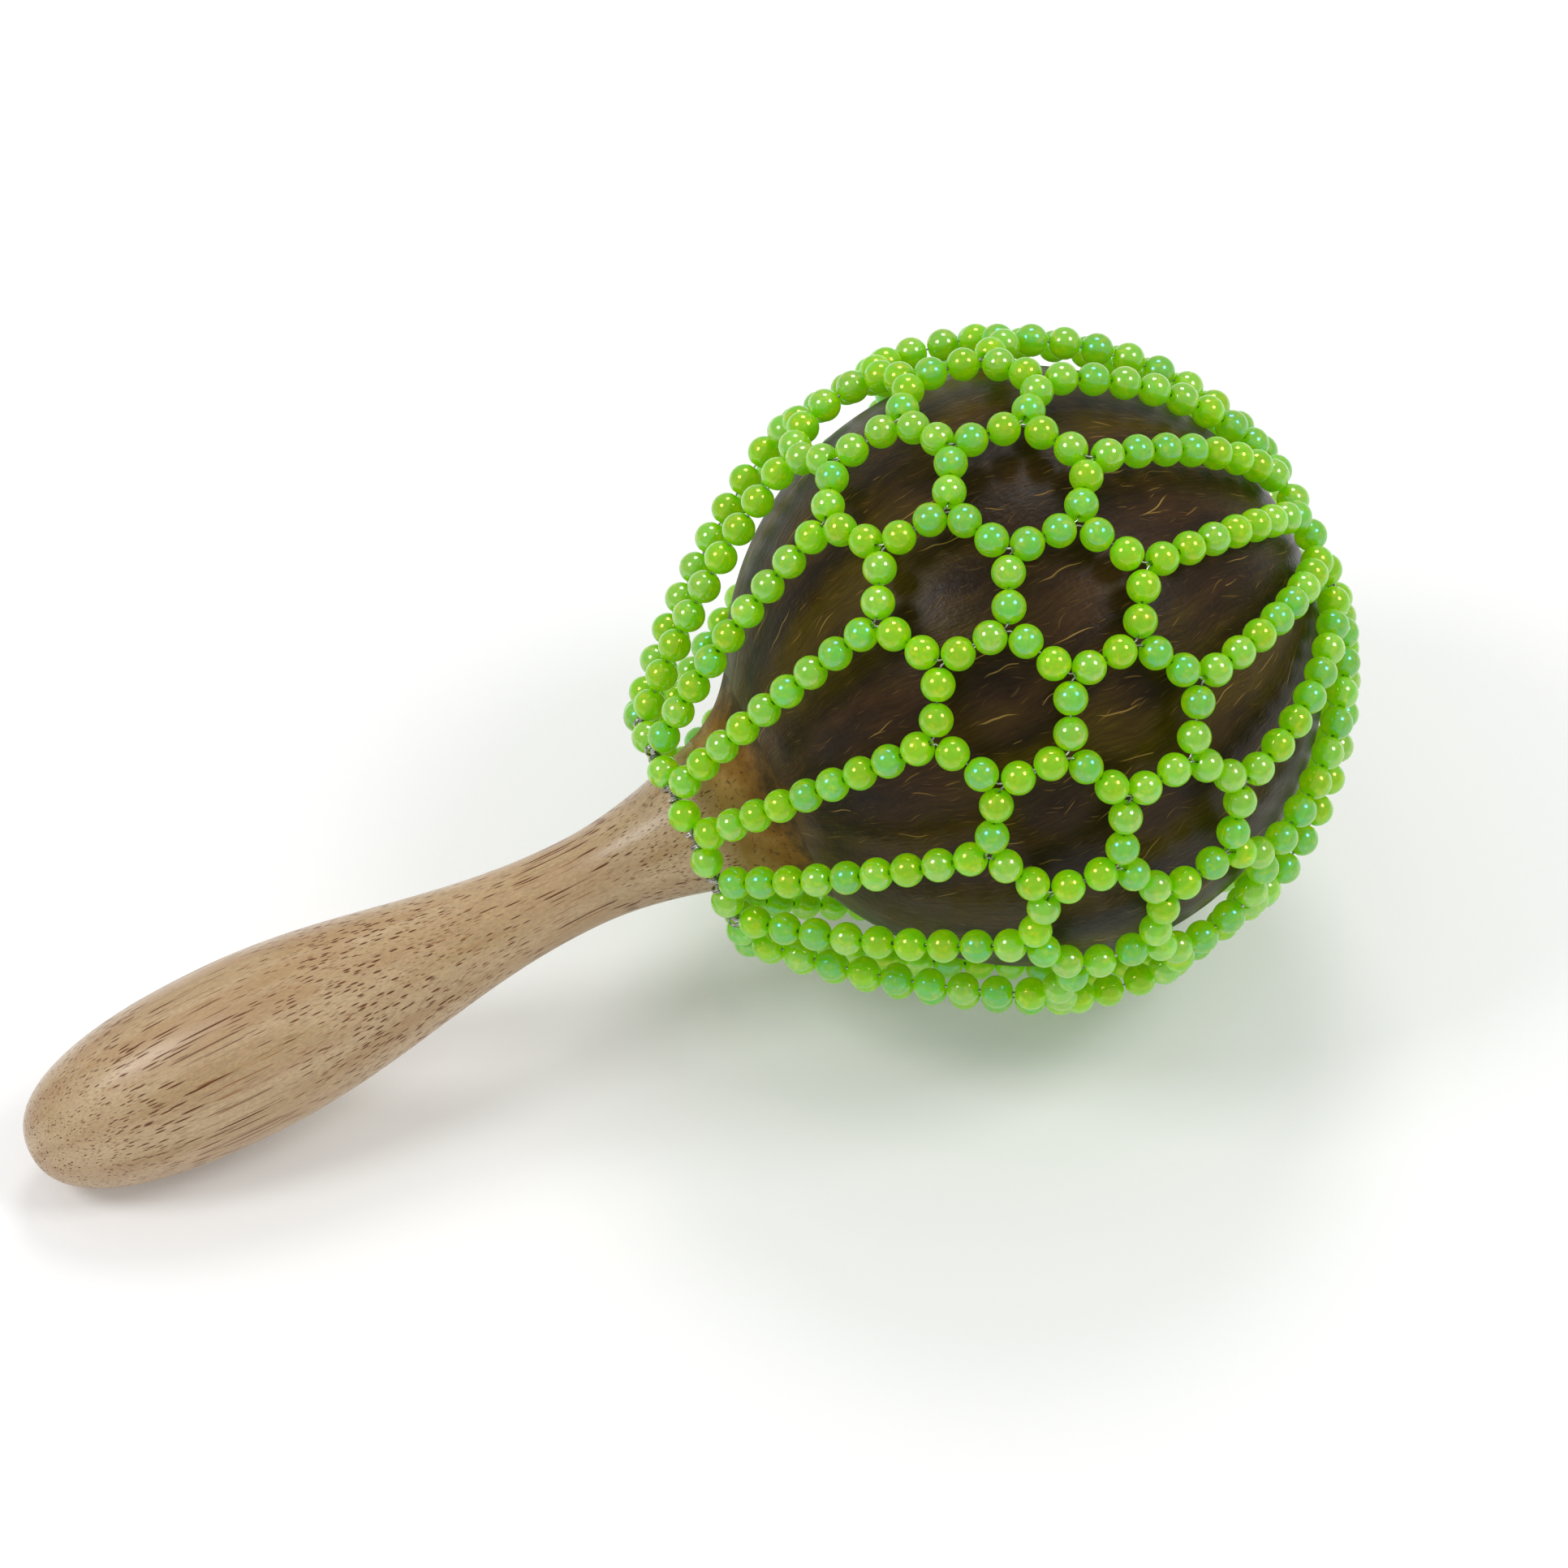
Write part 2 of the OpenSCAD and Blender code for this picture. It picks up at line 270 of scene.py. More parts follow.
@dataclass
class Form:
    """A surface before it is made a piece: its points, its quads and the finish that they take."""

    points: Point
    faces: np.ndarray
    finish: int = 0

    @classmethod
    def of_rings(cls, rings: Point, closed: bool = False) -> "Form":
        """Joins rings of points, each to the next.

        Args:
            rings: The points as rings, segments and coordinates.
            closed: Whether the last ring joins the first.

        Returns:
            The form, its faces turned outwards where the rings run upwards outside.
        """
        count, segments = rings.shape[:2]
        index = np.arange(count * segments).reshape(count, segments)
        above = np.roll(index, -1, 0) if closed else index[1:]
        below = index if closed else index[:-1]
        corners = [below, np.roll(below, -1, 1), np.roll(above, -1, 1), above]
        return cls(rings.reshape(-1, 3), np.stack(corners, -1).reshape(-1, 4))

    @classmethod
    def turned(cls, outline: Point, segments: int, closed: bool = False) -> "Form":
        """Turns an outline round the axis.

        Args:
            outline: Its [radius, station] points, in order. A radius of 0 makes a pole.
            segments: How many faces go round.
            closed: Whether the last point joins the first.

        Returns:
            The form.
        """
        turns = np.arange(segments) * FULL / segments
        rings = np.empty((len(outline), segments, 3))
        rings[..., 0] = outline[:, :1] * np.cos(turns)
        rings[..., 1] = outline[:, :1] * np.sin(turns)
        rings[..., 2] = outline[:, 1:]
        return cls.of_rings(rings, closed)

    @classmethod
    def swept(cls, path: Point, radius: float, sides: int) -> "Form":
        """A round wire along a path, without twist and with rounded ends.

        Args:
            path: The points that it follows.
            radius: The wire's radius.
            sides: How many faces go round.

        Returns:
            The form.
        """
        steps = path[1:] - path[:-1]
        steps = steps / np.linalg.norm(steps, axis=1)[:, None]
        ways = np.vstack([steps[:1], steps[:-1] + steps[1:], steps[-1:]])
        ways = ways / np.linalg.norm(ways, axis=1)[:, None]
        normals = np.empty_like(path)
        normal = FIRST_SIDE
        for i, way in enumerate(ways):
            normal = unit(normal - (normal @ way) * way)
            normals[i] = normal
        turns = np.arange(sides)[:, None] * FULL / sides
        rims = normals[:, None] * np.cos(turns) + np.cross(ways, normals)[:, None] * np.sin(turns)
        caps = [(radius * math.sin(a), radius * math.cos(a)) for a in (QUARTER, QUARTER / 2)]
        rings = [path[:1, None] - ways[:1, None] * out + rims[:1] * size for out, size in caps]
        rings.append(path[:, None] + rims * radius)
        rings += [path[-1:, None] + ways[-1:, None] * out + rims[-1:] * size for out, size in caps[::-1]]
        return cls.of_rings(np.concatenate(rings))

    def placed(self, turn: Point, place: Point, finish: int) -> "Form":
        """A copy that is turned, moved and given a finish."""
        return Form(self.points @ turn.T + place, self.faces, finish)


def make_piece(name: str, forms: list[Form], lie: Lie, finishes: list[Material]) -> Piece:
    """Lays forms on the table as one piece, and merges the points at their poles.

    Args:
        name: The piece's name.
        forms: Its forms, upright on the instrument's axis.
        lie: How the instrument lies.
        finishes: The materials that the forms' finishes count from 0.

    Returns:
        The piece, at the origin, with its place in its mesh.
    """
    starts = np.cumsum([0] + [len(form.points) for form in forms])
    points = lie.laid(np.concatenate([form.points for form in forms]))
    faces = np.concatenate([form.faces + start for form, start in zip(forms, starts)])
    worn = np.concatenate([np.full(len(form.faces), form.finish) for form in forms])
    mesh = bpy.data.meshes.new(name)
    mesh.from_pydata(points.tolist(), [], faces.tolist())
    mesh.polygons.foreach_set("material_index", worn.astype(np.int32))
    mesh.polygons.foreach_set("use_smooth", np.ones(len(faces), bool))
    for finish in finishes:
        mesh.materials.append(finish)
    shape = bmesh.new()
    shape.from_mesh(mesh)
    bmesh.ops.remove_doubles(shape, verts=shape.verts, dist=SAME_POINT)
    shape.to_mesh(mesh)
    shape.free()
    mesh.update()
    piece = bpy.data.objects.new(name, mesh)
    bpy.context.scene.collection.objects.link(piece)
    LOG.info("%s: %d faces", name, len(mesh.polygons))
    return piece


def enlist(piece: Piece, body: Body, slot: Slot, *nodes: str) -> Piece:
    """Puts a piece on its body, in the place of its nodes.

    Args:
        piece: The piece.
        body: The body that it moves with.
        slot: The record's slot for its finish. It is not used.
        *nodes: The nodes that it stands for.

    Returns:
        The piece.
    """
    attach(piece, body.value)
    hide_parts(*nodes)
    return piece


# Shader boards: how the finishes place their nodes


@dataclass(frozen=True)
class Sway:
    """How smooth noise pushes places about.

    Attributes:
        scale: The noise's scale per millimetre.
        detail: How many finer layers it has.
        reach: How far it pushes along each axis.
    """

    scale: float
    detail: float
    reach: Triple


class Board:
    """Places and joins the nodes of one material or group of nodes."""

    def __init__(self, tree: bpy.types.NodeTree) -> None:
        """Starts on a tree.

        Args:
            tree: The node tree to fill.
        """
        self.tree = tree

    def feed(self, node: bpy.types.Node, inputs: Inputs) -> None:
        """Fills a node's inputs.

        Args:
            node: The node.
            inputs: A value or another node's socket for each input, by name or number.
        """
        for key, value in inputs.items():
            if isinstance(value, Socket):
                self.tree.links.new(value, node.inputs[key])
            else:
                node.inputs[key].default_value = value

    def add(self, kind: str, inputs: Inputs | None = None, **settings: Any) -> bpy.types.Node:
        """Places a node.

        Args:
            kind: Its type's name, without its first word.
            inputs: What fills its inputs.
            **settings: Values of the node's own properties.

        Returns:
            The node.
        """
        node = self.tree.nodes.new("ShaderNode" + kind)
        for name, value in settings.items():
            setattr(node, name, value)
        self.feed(node, inputs or {})
        return node

    def sum(self, operation: str, a: Any, b: Any) -> Socket:
        """One step of arithmetic on values."""
        return self.add("Math", {0: a, 1: b}, operation=operation).outputs[0]

    def plus(self, a: Any, b: Any) -> Socket:
        """Two values added."""
        return self.sum("ADD", a, b)

    def minus(self, a: Any, b: Any) -> Socket:
        """A value less another."""
        return self.sum("SUBTRACT", a, b)

    def times(self, a: Any, b: Any) -> Socket:
        """Two values multiplied."""
        return self.sum("MULTIPLY", a, b)

    def vector(self, operation: str, a: Any, b: Any) -> Socket:
        """One step of arithmetic on vectors."""
        return self.add("VectorMath", {0: a, 1: b}, operation=operation).outputs[0]

    def joined(self, x: Any, y: Any, z: Any) -> Socket:
        """A vector of three values."""
        return self.add("CombineXYZ", {0: x, 1: y, 2: z}).outputs[0]

    def parts(self, vector: Any) -> Any:
        """A vector's three values."""
        return self.add("SeparateXYZ", {0: vector}).outputs

    def stretched(self, vector: Any, across: float, along: float) -> Socket:
        """A vector scaled by one factor across the instrument's axis and another along it."""
        return self.vector("MULTIPLY", vector, (across, across, along))

    def swayed(self, place: Any, source: Any, sway: Sway) -> Socket:
        """A place pushed about by smooth noise.

        Args:
            place: The place.
            source: Where the noise is read.
            sway: The noise, and how far it pushes.

        Returns:
            The place that it is pushed to.
        """
        push = self.add("TexNoise", {"Vector": source, "Scale": sway.scale, "Detail": sway.detail})
        return self.vector("ADD", place, self.vector("MULTIPLY", push.outputs["Color"], sway.reach))

    def noise(self, vector: Any, scale: float, detail: float = 2.0, rough: float = 0.5) -> Socket:
        """Smooth noise from 0 to 1, at a scale per millimetre."""
        sockets = {"Vector": vector, "Scale": scale, "Detail": detail, "Roughness": rough}
        return self.add("TexNoise", sockets).outputs["Fac"]

    def cloud(self, place: Any, scale: float) -> Socket:
        """The ragged noise that frays the edges of stains."""
        return self.noise(place, scale, 4.0, 0.65)

    def frayed(self, value: Any, cloud: Any, reach: float) -> Socket:
        """A value that a cloud moves up and down, over a reach in all."""
        return self.plus(value, self.times(self.minus(cloud, 0.5), reach))

    def step(self, value: Any, low: float, high: float) -> Socket:
        """A smooth step from 0 at low to 1 at high."""
        sockets = {"Value": value, "From Min": low, "From Max": high}
        return self.add("MapRange", sockets, interpolation_type="SMOOTHSTEP").outputs["Result"]

    def between(self, value: Any, low: float, high: float) -> Socket:
        """A share from 0 to 1, as a value between low and high."""
        return self.add("MapRange", {"Value": value, "To Min": low, "To Max": high}).outputs["Result"]

    def mix(self, share: Any, a: Any, b: Any, blend: str = "MIX") -> Socket:
        """Two colours mixed by a share. The node takes colours at 6 and 7 and gives one at 2."""
        return self.add("Mix", {0: share, 6: a, 7: b}, data_type="RGBA", blend_type=blend).outputs[2]

    def over(self, colour: Any, top: Any, mask: Any, strength: float) -> Socket:
        """A colour with another over it, where a mask lies and at a strength."""
        return self.mix(self.times(mask, strength), colour, top)

    def shaded(self, colour: Any, shade: Any) -> Socket:
        """A colour made darker or lighter by a factor."""
        grey = self.add("CombineColor", {0: shade, 1: shade, 2: shade}).outputs[0]
        return self.mix(1.0, colour, grey, "MULTIPLY")

    def bump(self, height: Any, depth_mm: float) -> Socket:
        """A normal bent by a height of that depth in millimetres."""
        sockets = {"Height": height, "Distance": depth_mm / TO_MM, "Strength": 1.0}
        return self.add("Bump", sockets).outputs["Normal"]


def new_group(name: str, inputs: dict[str, float], outputs: list[str]) -> tuple[Board, Any, bpy.types.Node]:
    """Starts a group of nodes with a vector input, and with float inputs and outputs.

    Args:
        name: The group's name.
        inputs: The default of each float input.
        outputs: The names of its outputs.

    Returns:
        Its board, the sockets of its inputs by name, and its output node.
    """
    tree = bpy.data.node_groups.new(name, "ShaderNodeTree")
    tree.interface.new_socket(name="Vector", in_out="INPUT", socket_type="NodeSocketVector")
    for label, value in inputs.items():
        socket = tree.interface.new_socket(name=label, in_out="INPUT", socket_type="NodeSocketFloat")
        socket.default_value = value
    for label in outputs:
        tree.interface.new_socket(name=label, in_out="OUTPUT", socket_type="NodeSocketFloat")
    given = tree.nodes.new("NodeGroupInput").outputs
    return Board(tree), given, tree.nodes.new("NodeGroupOutput")


def make_streaks() -> bpy.types.NodeTree:
    """Short thin streaks that run along Z, at most one in each cell, all sizes in millimetres.

    Returns:
        The group, which puts out a mask and a random shade for each streak.
    """
    sizes = {"Across": 1.0, "Along": 36.0, "Width": 0.15, "Length": 14.0, "Lean": 0.1}
    inputs = {**sizes, "Chance": 0.5, "Seed": 0.0, "Deep": 1.0}
    board, given, target = new_group("Streaks", inputs, ["Mask", "Shade"])
    cell = board.joined(given["Across"], given["Across"], given["Along"])
    shift = board.joined(given["Seed"], given["Seed"], given["Seed"])
    place = board.vector("ADD", board.vector("DIVIDE", given["Vector"], cell), shift)
    grid = board.add("TexVoronoi", {"Vector": place, "Scale": 1.0}).outputs
    off = board.vector("MULTIPLY", board.vector("SUBTRACT", place, grid["Position"]), cell)
    off = board.vector("MULTIPLY", off, board.joined(1.0, given["Deep"], 1.0))
    draws = board.add("SeparateColor", {0: grid["Color"]}).outputs
    lean = board.times(board.minus(draws[1], 0.5), given["Lean"])
    leant = board.add("VectorRotate", {"Vector": off, "Angle": lean}, rotation_type="Y_AXIS").outputs[0]
    sized = board.between(draws[2], LEAST_STREAK, 1.0)
    width, length = board.times(given["Width"], sized), board.times(given["Length"], sized)
    shares = board.vector("DIVIDE", leant, board.joined(width, width, length))
    far = board.add("VectorMath", {0: shares}, operation="LENGTH").outputs["Value"]
    kept = board.sum("LESS_THAN", draws[0], given["Chance"])
    board.feed(target, {"Mask": board.times(board.step(far, 1.0, STREAK_CORE), kept), "Shade": sized})
    return board.tree


def make_scuffs() -> bpy.types.NodeTree:
    """The unevenness of a rubbed lacquer: soft patches and hairlines, both from 0 to 1.

    Returns:
        The group, with its patches and its hairlines.
    """
    sizes = {"Patch": 9.0, "Hair": 0.35, "Run": 8.0}
    board, given, target = new_group("Scuffs", sizes, ["Patches", "Hairlines"])
    wide = board.joined(given["Patch"], given["Patch"], given["Patch"])
    patches = board.noise(board.vector("DIVIDE", given["Vector"], wide), 1.0, 4.0, 0.6)
    thin = board.joined(given["Hair"], given["Run"], given["Run"])
    inputs = {"Vector": given["Vector"], "Angle": HAIR_SLANT}
    slant = board.add("VectorRotate", inputs, rotation_type="Z_AXIS").outputs[0]
    hairs = board.noise(board.vector("DIVIDE", slant, thin), 1.0)
    masks = {"Patches": board.step(patches, *PATCH_CUT), "Hairlines": board.step(hairs, *HAIR_CUT)}
    board.feed(target, masks)
    return board.tree


@dataclass(frozen=True)
class Patches:
    """Soft patches, cut from noise that is stretched along the instrument's axis.

    Attributes:
        across: The noise's scale per millimetre across the axis.
        along: Its scale per millimetre along the axis.
        low: The height of the noise at which a patch starts.
        high: The height at which it is full.
        detail: How many finer layers the noise has.
        rough: How strong those are.
        strength: How well their colour covers the one below.
    """

    across: float
    along: float
    low: float
    high: float
    detail: float = 2.0
    rough: float = 0.5
    strength: float = 1.0

    def field(self, board: Board, place: Socket) -> Socket:
        """Their noise, uncut."""
        return board.noise(board.stretched(place, self.across, self.along), 1.0, self.detail, self.rough)

    def cut(self, board: Board, field: Socket) -> Socket:
        """The patches, from 0 to 1, cut from their noise."""
        return board.step(field, self.low, self.high)

    def mask(self, board: Board, place: Socket) -> Socket:
        """The patches, from 0 to 1, at a place."""
        return self.cut(board, self.field(board, place))

    def over(self, board: Board, place: Socket, colour: Any, top: Colour) -> Socket:
        """A colour with these patches over it in another."""
        return board.over(colour, top, self.mask(board, place), self.strength)


@dataclass(frozen=True)
class Streaks:
    """A layer of pores or fibres, its sizes in millimetres.

    Attributes:
        across: The width of a cell, which holds one streak at most.
        along: The length of a cell.
        width: Half of the widest streak's width.
        length: Half of the longest streak's length.
        chance: The share of the cells that hold a streak.
        seed: Shifts the draws.
        lean: How far the streaks lean, in all.
        deep: 1 for streaks with a depth, 0 for streaks that lie in the surface.
    """

    across: float
    along: float
    width: float
    length: float
    chance: float
    seed: float = 0.0
    lean: float = 0.03
    deep: float = 1.0


@dataclass
class Effects:
    """The groups of nodes that several finishes share, and what they know of the instrument.

    Attributes:
        lie: How the instrument lies.
        rim_mm: The station of the flare's rim, where the filler starts.
        fray_scale: The scale per millimetre of the stain's ragged edge at the rim.
        fray_mm: How far that edge is spread.
    """

    lie: Lie
    rim_mm: float
    fray_scale: float = 0.2
    fray_mm: float = 14.0

    @cached_property
    def streaks(self) -> bpy.types.NodeTree:
        """Pores and fibres."""
        return make_streaks()

    @cached_property
    def scuffs(self) -> bpy.types.NodeTree:
        """Wear in the lacquer."""
        return make_scuffs()

    def upright(self, board: Board) -> Socket:
        """The place on the upright instrument.

        Args:
            board: The material's board.

        Returns:
            The place, in millimetres from the butt.
        """
        place = board.add("TexCoord").outputs["Object"]
        inputs = {"Vector": place, "Location": self.lie.corner, "Rotation": self.lie.turn}
        stood = board.add("Mapping", inputs, vector_type="TEXTURE").outputs[0]
        return board.vector("MULTIPLY", stood, (TO_MM, TO_MM, TO_MM))

    def marks(self, board: Board, place: Socket, layer: Streaks) -> tuple[Socket, Socket]:
        """The marks of a layer of streaks.

        Args:
            board: The material's board.
            place: The place, in millimetres.
            layer: The streaks' sizes.

        Returns:
            Their mask and the random shade of each.
        """
        inputs = {label.capitalize(): value for label, value in asdict(layer).items()}
        outputs = board.add("Group", {"Vector": place, **inputs}, node_tree=self.streaks).outputs
        return outputs["Mask"], outputs["Shade"]

    def past_rim(self, board: Board, place: Socket, cloud: Socket, ends: Range) -> Socket:
        """A ragged step from 0 to 1 along the axis.

        Args:
            board: The material's board.
            place: The place, in millimetres.
            cloud: The noise that frays the step.
            ends: Where it starts and ends, from the flare's rim.

        Returns:
            The step.
        """
        station = board.frayed(board.parts(place)[2], cloud, self.fray_mm)
        return board.step(station, self.rim_mm + ends[0], self.rim_mm + ends[1])

    def wear(self, board: Board, place: Socket, sizes: Triple) -> tuple[Socket, Socket]:
        """The patches and the hairlines of a rubbed lacquer.

        Args:
            board: The material's board.
            place: The place, in millimetres.
            sizes: The patches' size, and the hairlines' width and length.

        Returns:
            Both masks.
        """
        inputs = dict(zip(("Patch", "Hair", "Run"), sizes))
        outputs = board.add("Group", {"Vector": place, **inputs}, node_tree=self.scuffs).outputs
        return outputs["Patches"], outputs["Hairlines"]


# Finishes


class Finish(ABC):
    """A finish, and the making of its material."""

    name: str

    @abstractmethod
    def paint(self, board: Board, effects: Effects) -> Inputs:
        """Paints the finish on its board.

        Args:
            board: The material's board.
            effects: The shared groups.

        Returns:
            What fills the inputs of the material's shader.
        """

    def make(self, effects: Effects) -> Material:
        """Builds the material.

        Args:
            effects: The shared groups.

        Returns:
            The material.
        """
        material = bpy.data.materials.new(self.name)
        material.use_nodes = True
        board = Board(material.node_tree)
        board.feed(material.node_tree.nodes["Principled BSDF"], self.paint(board, effects))
        return material


@dataclass(frozen=True)
class Rubberwood(Finish):
    """Pale turned wood with short reddish-brown pores along its grain, under satin lacquer."""

    name: str = "rubberwood"
    pale: Colour = tint(195, 168, 130)
    rosy: Colour = tint(178, 146, 106)
    straw: Colour = tint(181, 153, 109)
    amber: Colour = tint(160, 119, 72)
    pore: Colour = tint(94, 46, 4)
    light_pore: Colour = tint(136, 84, 32)
    stain: Colour = tint(170, 130, 68)
    body: Patches = Patches(0.12, 0.02, low=0.35, high=0.68, detail=4.0, rough=0.55)
    bands: Patches = Patches(0.3, 0.012, low=0.48, high=0.66, strength=0.6)
    flecks: Patches = Patches(3.0, 0.9, low=0.3, high=0.7, rough=0.7)
    dense: Patches = Patches(0.17, 0.004, low=0.52, high=0.6, strength=0.35)
    short_pores: Streaks = Streaks(0.46, 22.0, width=0.16, length=9.0, chance=0.9, seed=3.0)
    pores: Streaks = Streaks(0.58, 38.0, width=0.22, length=17.0, chance=0.95)
    close_pores: Streaks = Streaks(0.62, 40.0, width=0.23, length=18.0, chance=0.95, seed=7.0)
    # The sway of the grain: the noise's scale across and along the axis, and its push
    sway_scale: Range = (0.03, 0.008)
    sway: Sway = Sway(1.0, 1.0, (5.0, 5.0, 0.0))
    # Where the filler's stain starts and is full, from the rim, and how well it covers
    stain_ends: Range = (-9.0, -1.0)
    stain_strength: float = 0.85
    # The shades of flecks and pores, the share of close pores that shows off the dense patches, and
    # how well the short and the close pores cover
    fleck_shades: Range = (0.84, 1.08)
    pore_shades: Range = (0.65, 1.0)
    sparse_share: float = 0.3
    short_strength: float = 0.8
    close_strength: float = 0.95
    # The lacquer: its wear, its roughness, how much rougher pores are, and its weight off and in them
    scuffs: Triple = (14.0, 0.3, 9.0)
    rough: Range = (0.34, 0.48)
    pore_rough: float = 0.2
    lacquer: Range = (0.6, 0.05)
    # The relief: its depth, the scale of the turning's rings, and the rings' and short pores' shares
    relief_mm: float = 0.045
    ring_scale: Range = (0.02, 1.9)
    ring_relief: float = 0.3
    short_relief: float = 0.5

    def paint(self, board: Board, effects: Effects) -> Inputs:
        """Paints bands, the filler's stain, and pores that are denser in places.

        Args:
            board: The material's board.
            effects: The shared groups.

        Returns:
            What fills the inputs of the material's shader.
        """
        place = effects.upright(board)
        bent = board.swayed(place, board.stretched(place, *self.sway_scale), self.sway)
        colour = self.body.over(board, bent, self.pale, self.rosy)
        colour = self.bands.over(board, bent, colour, self.straw)
        colour = board.shaded(colour, board.between(self.flecks.mask(board, bent), *self.fleck_shades))
        cloud = board.cloud(place, effects.fray_scale)
        stained = effects.past_rim(board, place, cloud, self.stain_ends)
        colour = board.over(colour, self.stain, stained, self.stain_strength)
        short, _ = effects.marks(board, bent, self.short_pores)
        colour = board.over(colour, self.light_pore, short, self.short_strength)
        dense = self.dense.mask(board, bent)
        colour = board.over(colour, self.amber, dense, self.dense.strength)
        mask, shade = effects.marks(board, bent, self.pores)
        main = board.times(mask, board.between(shade, *self.pore_shades))
        colour = board.mix(main, colour, self.pore)
        mask, _ = effects.marks(board, bent, self.close_pores)
        close = board.times(mask, board.between(dense, self.sparse_share, 1.0))
        colour = board.over(colour, self.pore, close, self.close_strength)
        patches, _ = effects.wear(board, place, self.scuffs)
        rough = board.between(patches, *self.rough)
        rings = board.noise(board.stretched(place, *self.ring_scale), 1.0)
        dips = board.plus(main, board.plus(close, board.times(short, self.short_relief)))
        relief = board.minus(board.times(rings, self.ring_relief), dips)
        return {
            "Base Color": colour,
            "Roughness": board.plus(rough, board.times(main, self.pore_rough)),
            "Normal": board.bump(relief, self.relief_mm),
            "Coat Weight": board.between(board.sum("MAXIMUM", main, close), *self.lacquer),
            "Coat Roughness": 0.26,
            "Coat IOR": 1.5,
            "Specular IOR Level": 0.3,
        }


@dataclass(frozen=True)
class Coconut(Finish):
    """Dark polished coconut shell, with short golden fibres that run from the neck to the crown."""

    name: str = "coconut"
    dark: Colour = tint(40, 26, 10)
    umber: Colour = tint(66, 43, 20)
    olive: Colour = tint(76, 60, 0)
    fibre: Colour = tint(142, 106, 46)
    hair: Colour = tint(172, 136, 70)
    stain: Colour = tint(96, 72, 26)
    browning: Patches = Patches(0.1, 0.035, low=0.36, high=0.64, detail=4.0, rough=0.6)
    greening: Patches = Patches(0.05, 0.022, low=0.47, high=0.66, detail=3.0, rough=0.55, strength=0.8)
    threads: Patches = Patches(2.1, 0.16, low=0.3, high=0.7, detail=3.0, rough=0.6)
    thick: Patches = Patches(0.06, 0.06, low=0.42, high=0.62)
    pits: Patches = Patches(0.9, 0.9, low=0.2, high=0.7)
    fine_fibres: Streaks = Streaks(1.5, 5.0, 0.1, 1.7, chance=0.55, seed=5.0, lean=0.8, deep=0.0)
    fibres: Streaks = Streaks(3.6, 8.0, 0.2, 2.3, chance=0.5, lean=1.0, deep=0.0)
    hairs: Streaks = Streaks(8.0, 17.0, 0.2, 5.5, chance=0.5, seed=2.0, lean=0.8, deep=0.0)
    # The sway of the grain and the curl of the fibres on it
    sway: Sway = Sway(0.07, 2.0, (7.0, 0.0, 5.0))
    curl: Sway = Sway(0.2, 1.0, (1.6, 0.0, 0.0))
    # The shades of the threads, and how well each layer of fibres covers
    thread_shades: Range = (0.74, 1.26)
    fine_strength: float = 0.35
    fibre_strength: Range = (0.2, 0.8)
    hair_strength: float = 0.75
    # The shell's radius, and the filler's stain: its height as a share of that radius, where it ends
    # and is full from there, how well it covers, and its ragged edge
    shell_r: float = 52.0
    stain_at: float = -0.93
    stain_ends: Range = (6.0, -1.0)
    stain_strength: float = 0.8
    stain_scale: float = 0.22
    stain_mm: float = 9.0
    # The polish: its wear, its roughness, and how much smoother hairlines are
    scuffs: Triple = (11.0, 0.5, 14.0)
    rough: Range = (0.3, 0.44)
    hairline_shine: float = 0.08
    # The relief: its depth, and what threads and pits add to it and fibres take off
    relief_mm: float = 0.09
    thread_relief: float = 0.8
    pit_relief: float = 0.5
    fibre_relief: float = 0.4

    def paint(self, board: Board, effects: Effects) -> Inputs:
        """Paints brown and olive patches, the filler's stain, and three layers of fibres.

        Args:
            board: The material's board.
            effects: The shared groups.

        Returns:
            What fills the inputs of the material's shader.
        """
        place = effects.upright(board)
        off = board.vector("SUBTRACT", place, (0.0, 0.0, effects.lie.shell_z * TO_MM))
        bent = board.swayed(self.grain_place(board, off), place, self.sway)
        colour = self.browning.over(board, bent, self.dark, self.umber)
        colour = self.greening.over(board, bent, colour, self.olive)
        threads = self.threads.field(board, bent)
        shade = board.between(self.threads.cut(board, threads), *self.thread_shades)
        colour = board.shaded(colour, shade)
        height = board.frayed(board.parts(off)[2], board.cloud(place, self.stain_scale), self.stain_mm)
        above = board.plus(height, self.shell_r * -self.stain_at)
        stained = board.step(above, *self.stain_ends)
        colour = board.over(colour, self.stain, stained, self.stain_strength)
        curled = board.swayed(bent, place, self.curl)
        fine, _ = effects.marks(board, curled, self.fine_fibres)
        colour = board.over(colour, self.fibre, fine, self.fine_strength)
        main, _ = effects.marks(board, curled, self.fibres)
        thick = board.between(self.thick.mask(board, place), *self.fibre_strength)
        colour = board.mix(board.times(main, thick), colour, self.fibre)
        hairs, _ = effects.marks(board, curled, self.hairs)
        colour = board.over(colour, self.hair, hairs, self.hair_strength)
        patches, hairlines = effects.wear(board, bent, self.scuffs)
        rough = board.between(patches, *self.rough)
        pits = board.times(self.pits.mask(board, place), self.pit_relief)
        relief = board.plus(board.times(threads, self.thread_relief), pits)
        relief = board.minus(relief, board.times(main, self.fibre_relief))
        return {
            "Base Color": colour,
            "Roughness": board.minus(rough, board.times(hairlines, self.hairline_shine)),
            "Normal": board.bump(relief, self.relief_mm),
            "Coat Weight": 0.03,
            "Coat Roughness": 0.24,
            "Specular IOR Level": 0.14,
        }

